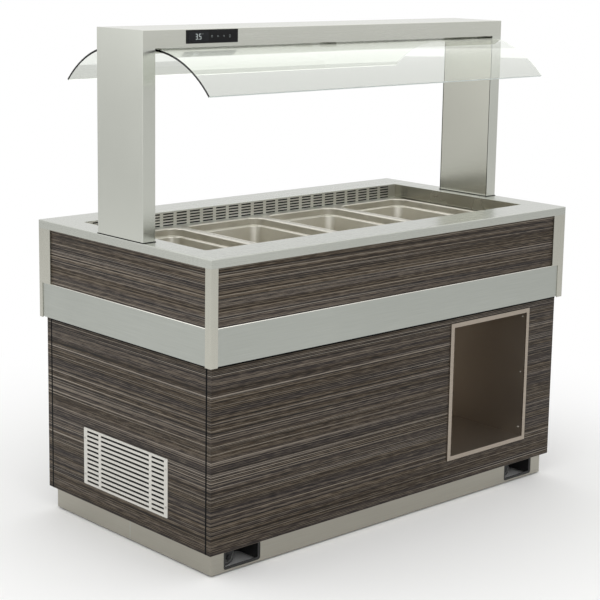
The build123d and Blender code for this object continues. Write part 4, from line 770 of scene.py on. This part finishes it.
# Metres above the floor
NICHE_SCREW_HEIGHTS = (0.187, 0.374, 0.560)
for wall_name, wall_x, turn in (
    ("left", niche_low.x + NICHE_SHEET, FACE_RIGHT),
    ("right", niche_high.x - NICHE_SHEET, FACE_LEFT),
):
    start = Vector((wall_x, niche_low.y + NICHE_SCREW_SETBACK, NICHE_SCREW_HEIGHTS[0]))
    model_screw(start, turn)
    low_screw = keep_piece(f"niche_screw_{wall_name}_1", screw_zinc, "cabinet", SMOOTH_SCREW)
    for number, height in enumerate(NICHE_SCREW_HEIGHTS[1:], 2):
        rise = Vector((0, 0, height - start.z))
        screw = copy_piece(low_screw, f"niche_screw_{wall_name}_{number}", rise, "cabinet")


# Black foam filters behind the air slots and behind the machine grille

FILTER_THICK = 6 * MM
FILTER_GAP = 1 * MM
GRILLE_FILTER_GAP = 5 * MM
FILTER_EDGE = 1.5 * MM
FILTER_MARGIN = 13 * MM
GRILLE_FILTER_LIP = 7 * MM


def model_filter(low, high):
    """A pad of open foam between two corners, its edges rounded over."""
    start_block(low, high)
    bpy.ops.mesh.select_all(action="SELECT")
    bpy.ops.mesh.bevel(offset=FILTER_EDGE, segments=3, affect="EDGES")


model_filter(
    Vector((
        grille_high.x + GRILLE_FILTER_GAP,
        grille_low.y + FILTER_MARGIN,
        grille_low.z + GRILLE_FILTER_LIP)),
    Vector((
        grille_high.x + GRILLE_FILTER_GAP + FILTER_THICK,
        grille_high.y - FILTER_MARGIN,
        grille_high.z - GRILLE_FILTER_LIP)))
keep_piece("machine_grille_filter", black_foam, "cabinet")
for wall_node, side in (("air_outlet_wall", 1), ("air_intake_wall", -1)):
    wall_low, wall_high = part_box(wall_node)
    near = max(abs(wall_low.y), abs(wall_high.y)) + FILTER_GAP
    edges = sorted((side * near, side * (near + FILTER_THICK)))
    model_filter(
        Vector((wall_low.x + FILTER_MARGIN, edges[0], wall_low.z + FILTER_GAP)),
        Vector((wall_high.x - FILTER_MARGIN, edges[1], wall_high.z - FILTER_GAP)))
    keep_piece(wall_node.replace("wall", "filter"), black_foam, "cabinet")


# Rounded strips: joints of the boards, black strips under the steel that paint shade, rolled edges of the
# bands that paint a highlight line, joints of the plinth ends

JOINT_WIDTH, JOINT_PROUD = 6.5 * MM, 0.5 * MM
# Black strips under the lip of the worktop and under the bands: painted shade
LOWER_SHADE_STRIP_HEIGHT, UPPER_SHADE_STRIP_HEIGHT, SHADE_STRIP_PROUD = 10.0 * MM, 5.0 * MM, 0.6 * MM
BEAD_RADIUS = 2.0 * MM
SEAM_WIDTH, SEAM_PROUD = 3.0 * MM, 0.4 * MM
STRIP_SIDES = 16
STRIP_END = 0.2 * MM


def model_strip(start, end, half_size):
    """A rod between two points, along one axis of the frame, pressed to these half sizes across it."""
    clear_hands()
    run = end - start
    turns = ((0, QUARTER_TURN, 0), (QUARTER_TURN, 0, 0), (0, 0, 0))
    axis = max(range(3), key=lambda number: abs(run[number]))
    bpy.ops.mesh.primitive_cylinder_add(
        vertices=STRIP_SIDES, radius=1.0, depth=run.length, rotation=turns[axis])
    apply_place()
    pressed = Vector(half_size)
    pressed[axis] = 1.0
    bpy.context.object.scale = pressed
    bpy.context.object.location = (start + end) / 2
    apply_place()
    bpy.ops.object.mode_set(mode="EDIT")
    pick_edges(lambda one, other: abs(one[axis] - other[axis]) < STRIP_END / 2)
    bpy.ops.mesh.bevel(offset=STRIP_END, segments=2, affect="EDGES")


for board_name, face_sign in (("left_panel", -1), ("right_panel", 1)):
    board_low, board_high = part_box(board_name)
    face_x = board_low.x if face_sign < 0 else board_high.x
    for edge_name, edge_y in (("front", board_low.y), ("rear", board_high.y)):
        model_strip(
            Vector((face_x, edge_y, board_low.z)), Vector((face_x, edge_y, board_high.z)),
            (JOINT_PROUD, JOINT_WIDTH / 2, 1.0))
        joint_name = board_name.replace("panel", f"{edge_name}_joint")
        keep_piece(joint_name, silicone_and_shade, "cabinet", SMOOTH_STRIP)

POST_LEG = 25 * MM
LAPPED_LEG_X, LAPPED_LEG_Y = 57 * MM, 60 * MM
long_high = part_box("long_bands")[1]
end_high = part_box("end_bands")[1]
band_top = long_high.z
spans = {
    "front": (cad_low.x + POST_LEG, cad_high.x - LAPPED_LEG_X),
    "rear": (cad_low.x + LAPPED_LEG_X, cad_high.x - POST_LEG),
    "left": (cad_low.y + POST_LEG, cad_high.y - LAPPED_LEG_Y),
    "right": (cad_low.y + LAPPED_LEG_Y, cad_high.y - POST_LEG),
}
lower_boards = {"front": "front_panel", "rear": "rear_panel", "left": "left_panel", "right": "right_panel"}
upper_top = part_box("upper_long_panels")[1].z
upper_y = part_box("upper_long_panels")[1].y
upper_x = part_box("upper_end_panels")[1].x


def model_side_strip(side, span, reach_x, reach_y, height, half_across, half_high):
    """A level strip along one side of the case, at this reach from the middle."""
    sign = -1 if side in ("front", "left") else 1
    if side in ("front", "rear"):
        start, end = (Vector((along, sign * reach_y, height)) for along in span)
    else:
        start, end = (Vector((sign * reach_x, along, height)) for along in span)
    model_strip(start, end, (half_across, half_across, half_high))


for side, span in spans.items():
    # Each band's rolled edge, in the lighter steel that paints a highlight line along it
    model_side_strip(
        side, span, end_high.x - BEAD_RADIUS, long_high.y - BEAD_RADIUS, band_top, BEAD_RADIUS, BEAD_RADIUS)
    keep_piece(f"band_painted_highlight_edge_{side}", steel_bead_painted_highlight, "cabinet", SMOOTH_STRIP)
    # Black strips under the worktop's lip and under the band: painted shade in the overhangs
    half_high = UPPER_SHADE_STRIP_HEIGHT / 2
    model_side_strip(side, span, upper_x, upper_y, upper_top - half_high, SHADE_STRIP_PROUD, half_high)
    keep_piece(f"upper_painted_shade_strip_{side}", silicone_and_shade, "cabinet", SMOOTH_STRIP)
    board_low, board_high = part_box(lower_boards[side])
    lower_span = (board_low.x, board_high.x) if side in ("front", "rear") else (board_low.y, board_high.y)
    half_high = LOWER_SHADE_STRIP_HEIGHT / 2
    model_side_strip(
        side, lower_span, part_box("front_panel")[1].x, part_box("rear_panel")[1].y,
        board_high.z - half_high, SHADE_STRIP_PROUD, half_high)
    keep_piece(f"lower_painted_shade_strip_{side}", silicone_and_shade, "cabinet", SMOOTH_STRIP)

plinth_low, plinth_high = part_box("plinth_ends")
panel_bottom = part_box("left_panel")[0].z
for seam_name, face_x in (("left", plinth_low.x), ("right", plinth_high.x)):
    model_strip(
        Vector((face_x, 0, plinth_low.z)), Vector((face_x, 0, panel_bottom)),
        (SEAM_PROUD, SEAM_WIDTH / 2, 1.0))
    keep_piece(f"plinth_seam_{seam_name}", steel_band, "cabinet", SMOOTH_STRIP)


# Beads of silicone around the feet of the columns

FOOT_BEAD_ACROSS, FOOT_BEAD_HIGH = 1.3 * MM, 1.5 * MM
FOOT_BEAD_OUT, FOOT_BEAD_UP = 0.8 * MM, 0.5 * MM
FOOT_BEAD_MITRE = 0.8 * MM


def model_closed_bead(half_x, half_y, half_across, half_high):
    """A bead around a rectangle: a ring of four sides, drawn out to length and eased at its mitres."""
    clear_hands()
    thick = half_across * math.sqrt(2)
    half_start = 4 * thick
    bpy.ops.mesh.primitive_torus_add(
        major_segments=4, minor_segments=STRIP_SIDES, major_radius=half_start * math.sqrt(2),
        minor_radius=thick, rotation=(0, 0, QUARTER_TURN / 2))
    bpy.context.object.scale = (1.0, 1.0, half_high / thick)
    apply_place()
    bpy.ops.object.mode_set(mode="EDIT")
    for axis, half_end in enumerate((half_x, half_y)):
        for sign in (-1, 1):
            pick_points(lambda point: point[axis] * sign > 0)
            draw_out = Vector((0, 0, 0))
            draw_out[axis] = sign * (half_end - half_start)
            bpy.ops.transform.translate(value=draw_out)
    pick_edges(lambda one, other: one.x * other.x > 0 and one.y * other.y > 0)
    bpy.ops.mesh.bevel(offset=FOOT_BEAD_MITRE, segments=2, affect="EDGES")
    bpy.ops.mesh.select_all(action="SELECT")
    bpy.ops.mesh.normals_make_consistent(inside=False)


for column_name in ("column_left", "column_right"):
    column_low, column_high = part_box(column_name)
    half_column = (column_high - column_low) / 2
    model_closed_bead(
        half_column.x + FOOT_BEAD_OUT, half_column.y + FOOT_BEAD_OUT, FOOT_BEAD_ACROSS, FOOT_BEAD_HIGH)
    middle = (column_low + column_high) / 2
    bpy.context.object.location = (middle.x, middle.y, column_low.z + FOOT_BEAD_UP)
    keep_piece(f"{column_name}_foot_seal", silicone_and_shade, "cabinet", SMOOTH_STRIP)


# Reading and touch keys on the control panel

panel_low, panel_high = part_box("control_panel")
panel_middle_z = (panel_low.z + panel_high.z) / 2
PRINT_THICK = 0.15 * MM
WINDOW_WIDTH, WINDOW_HEIGHT, WINDOW_PROUD = 72 * MM, 27 * MM, 0.3 * MM
WINDOW_LEFT, WINDOW_CORNER = 9 * MM, 2.5 * MM
DIGIT_WIDTH, DIGIT_HEIGHT, STROKE = 8.5 * MM, 16 * MM, 1.7 * MM
STROKE_CORNER = 0.45 * STROKE
DIGIT_PITCH = 13 * MM
# Places of the first digit, the point and the degree sign, in pitches from the window's middle
FIRST_DIGIT, POINT_PLACE, DEGREE_PLACE = -0.7, -0.2, 1.05
KEY_PITCH = 22 * MM
KEY_SIZE, KEY_LINE = 3.2 * MM, 0.7 * MM
BAR_CORNER = 0.25 * MM
ROUND_SIGN, ARROW_SIGN = 28, 3
window_face = panel_low.y - WINDOW_PROUD


def raise_print(thick):
    """Gives the flat shape in hand its thickness towards the front and closes it."""
    bpy.ops.mesh.select_all(action="SELECT")
    bpy.ops.mesh.extrude_region_move(TRANSFORM_OT_translate={"value": (0, -thick, 0)})
    bpy.ops.mesh.select_all(action="SELECT")
    bpy.ops.mesh.normals_make_consistent(inside=False)
    bpy.ops.object.mode_set(mode="OBJECT")


def flat_shape(place, width, height, corner, corner_steps, turn=0.0):
    """An upright flat shape facing the front, with its corners cut or rounded."""
    bpy.ops.object.select_all(action="DESELECT")
    bpy.ops.mesh.primitive_plane_add(size=1.0, location=place, rotation=(QUARTER_TURN, turn, 0))
    bpy.context.object.scale = (width, height, 1.0)
    apply_place()
    bpy.ops.object.mode_set(mode="EDIT")
    bpy.ops.mesh.select_all(action="SELECT")
    bpy.ops.mesh.bevel(offset=corner, segments=corner_steps, affect="VERTICES")


def join_shapes(shapes):
    """Makes one piece of several shapes."""
    bpy.ops.object.select_all(action="DESELECT")
    for shape in shapes:
        shape.select_set(True)
    bpy.context.view_layer.objects.active = shapes[0]
    if len(shapes) > 1:
        bpy.ops.object.join()


clear_hands()
window_middle = Vector((panel_low.x + WINDOW_LEFT + WINDOW_WIDTH / 2, panel_low.y, panel_middle_z))
flat_shape(window_middle, WINDOW_WIDTH, WINDOW_HEIGHT, WINDOW_CORNER, 6)
raise_print(WINDOW_PROUD)
keep_piece("display_window", smoked_acrylic, "cabinet")

# Strokes of a seven-stroke digit, each as steps across and up from its middle and whether it stands upright
STROKES = {
    "top": (0, 1, False), "middle": (0, 0, False), "bottom": (0, -1, False),
    "upper_left": (-1, 0.5, True), "upper_right": (1, 0.5, True),
    "lower_left": (-1, -0.5, True), "lower_right": (1, -0.5, True),
}
DIGIT_STROKES = {
    "3": ("top", "middle", "bottom", "upper_right", "lower_right"),
    "5": ("top", "middle", "bottom", "upper_left", "lower_right"),
}
stroke_length = DIGIT_HEIGHT / 2 - STROKE
shapes = []
for place_number, digit in enumerate("35"):
    digit_x = window_middle.x + (place_number + FIRST_DIGIT) * DIGIT_PITCH
    for stroke_name in DIGIT_STROKES[digit]:
        across, up, stands = STROKES[stroke_name]
        middle = Vector((
            digit_x + across * (DIGIT_WIDTH - STROKE) / 2,
            window_face,
            panel_middle_z + up * (DIGIT_HEIGHT - STROKE) / 2))
        flat_shape(middle, stroke_length, STROKE, STROKE_CORNER, 1, QUARTER_TURN if stands else 0.0)
        raise_print(PRINT_THICK)
        shapes.append(bpy.context.object)
dot_lift = DIGIT_HEIGHT / 2 - STROKE / 2
for dot_place, dot_z in (
    (POINT_PLACE, panel_middle_z - dot_lift),
    (DEGREE_PLACE, panel_middle_z + dot_lift),
):
    dot_x = window_middle.x + dot_place * DIGIT_PITCH
    flat_shape(Vector((dot_x, window_face, dot_z)), STROKE, STROKE, STROKE_CORNER, 4)
    raise_print(PRINT_THICK)
    shapes.append(bpy.context.object)
join_shapes(shapes)
keep_piece("display_reading", display_print, "cabinet", SMOOTH_PRINT)


def ring_shape(place, radius, width, corners, turn=0.0):
    """An upright ring facing the front, round or with a few corners."""
    bpy.ops.object.select_all(action="DESELECT")
    bpy.ops.mesh.primitive_circle_add(
        vertices=corners, radius=radius, fill_type="NGON", location=place, rotation=(QUARTER_TURN, turn, 0))
    apply_place()
    bpy.ops.object.mode_set(mode="EDIT")
    bpy.ops.mesh.select_all(action="SELECT")
    bpy.ops.mesh.inset(thickness=width, depth=0.0)
    bpy.ops.mesh.delete(type="FACE")
    raise_print(PRINT_THICK)


# Bars in a key's sign, each by its lift from the middle, its width and its height
KEY_BARS = {
    "power": ((KEY_SIZE / 2, 0.9 * MM, KEY_SIZE),),
    "lamp": (
        (-KEY_SIZE - 0.7 * MM, 2.6 * MM, KEY_LINE),
        (-KEY_SIZE - 1.9 * MM, 1.8 * MM, KEY_LINE)),
}
key_start = window_middle.x + WINDOW_WIDTH / 2 + KEY_PITCH / 2
for key_number, (key_name, corners, turn) in enumerate((
    ("power", ROUND_SIGN, 0.0),
    ("up", ARROW_SIGN, 0.0),
    ("down", ARROW_SIGN, FULL_TURN / 2),
    ("lamp", ROUND_SIGN, 0.0),
)):
    spot = Vector((key_start + key_number * KEY_PITCH, panel_low.y, panel_middle_z))
    ring_shape(spot, KEY_SIZE, KEY_LINE, corners, turn)
    shapes = [bpy.context.object]
    for lift, bar_width, bar_height in KEY_BARS.get(key_name, ()):
        flat_shape(spot + Vector((0, 0, lift)), bar_width, bar_height, BAR_CORNER, 2)
        raise_print(2 * PRINT_THICK)
        shapes.append(bpy.context.object)
    join_shapes(shapes)
    keep_piece(f"touch_key_{key_name}", key_print, "cabinet", SMOOTH_PRINT)


# Camera at the photograph's angle

EYE = Vector((-3.4142, -3.6387, 1.7266))
LOOK = Vector((0.667, 0.7219, -0.1845))
ROLL = math.radians(0.96)
LENS, SENSOR = 96.47, 36.0
FRAME_SHIFT = -0.0833
camera_data = bpy.data.cameras.new("photo_camera")
camera_data.lens = LENS
camera_data.sensor_width = SENSOR
camera_data.shift_y = FRAME_SHIFT
camera = bpy.data.objects.new("photo_camera", camera_data)
scene.collection.objects.link(camera)
camera.location = EYE
upright = LOOK.to_track_quat("-Z", "Y").to_matrix()
camera.rotation_euler = (upright @ Matrix.Rotation(ROLL, 3, "Z")).to_euler()
scene.camera = camera


# Floor, light and background

FLOOR_SIZE = 40.0
# Metres from the middle between which the floor that the camera sees fades to white
FADE_START, FADE_END = 0.75, 2.1
WHITE = linear("#ffffff")
SOFT_LIGHT = 0.75
clear_hands()
bpy.ops.mesh.primitive_plane_add(size=FLOOR_SIZE, location=(0, 0, 0))
floor = bpy.context.object
floor.name = "studio_floor"
floor_material, floor_tree, floor_surface = start_material("studio_floor_pale", "#f1f1f0", 0.0, 0.9)
floor_place = add_node(floor_tree, "ShaderNodeTexCoord")
distance = add_node(
    floor_tree, "ShaderNodeVectorMath", links={0: floor_place.outputs["Object"]}, operation="LENGTH")
fade = add_node(
    floor_tree, "ShaderNodeMapRange", {"From Min": FADE_START, "From Max": FADE_END},
    {"Value": distance.outputs["Value"]}, interpolation_type="SMOOTHSTEP")
floor_path = add_node(floor_tree, "ShaderNodeLightPath")
seen = add_node(
    floor_tree, "ShaderNodeMath", links={0: fade.outputs[0], 1: floor_path.outputs["Is Camera Ray"]},
    operation="MULTIPLY")
white_far = add_node(floor_tree, "ShaderNodeEmission", {"Color": WHITE, "Strength": 1.0})
blend_far = add_node(
    floor_tree, "ShaderNodeMixShader",
    links={0: seen.outputs[0], 1: floor_surface.outputs[0], 2: white_far.outputs[0]})
floor_tree.links.new(blend_far.outputs[0], floor_tree.nodes["Material Output"].inputs["Surface"])
floor.data.materials.append(floor_material)

world = bpy.data.worlds.new("studio_white")
world.use_nodes = True
scene.world = world
world_tree = world.node_tree
soft_light = world_tree.nodes["Background"]
soft_light.inputs["Color"].default_value = WHITE
soft_light.inputs["Strength"].default_value = SOFT_LIGHT
white_seen = add_node(world_tree, "ShaderNodeBackground", {"Color": WHITE, "Strength": 1.0})
path = add_node(world_tree, "ShaderNodeLightPath")
glossy_or_clear = add_node(
    world_tree, "ShaderNodeMath",
    links={0: path.outputs["Is Glossy Ray"], 1: path.outputs["Is Transmission Ray"]}, operation="MAXIMUM")
seen_straight = add_node(
    world_tree, "ShaderNodeMath",
    links={0: path.outputs["Is Camera Ray"], 1: glossy_or_clear.outputs[0]}, operation="MAXIMUM")
choice = add_node(
    world_tree, "ShaderNodeMixShader",
    links={0: seen_straight.outputs[0], 1: soft_light.outputs[0], 2: white_seen.outputs[0]})
world_tree.links.new(choice.outputs[0], world_tree.nodes["World Output"].inputs["Surface"])


def softbox(name, place, aim, width, height, power):
    """A large soft lamp at a place, turned to its aim, with its power in watts."""
    lamp_data = bpy.data.lights.new(name, "AREA")
    lamp_data.shape = "RECTANGLE"
    lamp_data.size = width
    lamp_data.size_y = height
    lamp_data.energy = power
    lamp = bpy.data.objects.new(name, lamp_data)
    scene.collection.objects.link(lamp)
    lamp.location = place
    lamp.rotation_euler = (Vector(aim) - Vector(place)).to_track_quat("-Z", "Y").to_euler()


softbox("key_softbox", (-1.6, -3.6, 3.4), (0, 0, 0.7), width=7.0, height=5.0, power=66.0)
softbox("side_softbox", (-4.2, 0.8, 2.6), (0, 0, 0.7), width=7.0, height=5.0, power=50.0)
softbox("top_softbox", (0.4, 0.3, 3.8), (0, 0, 0.8), width=7.0, height=6.0, power=66.0)

scene.view_settings.view_transform = "Standard"
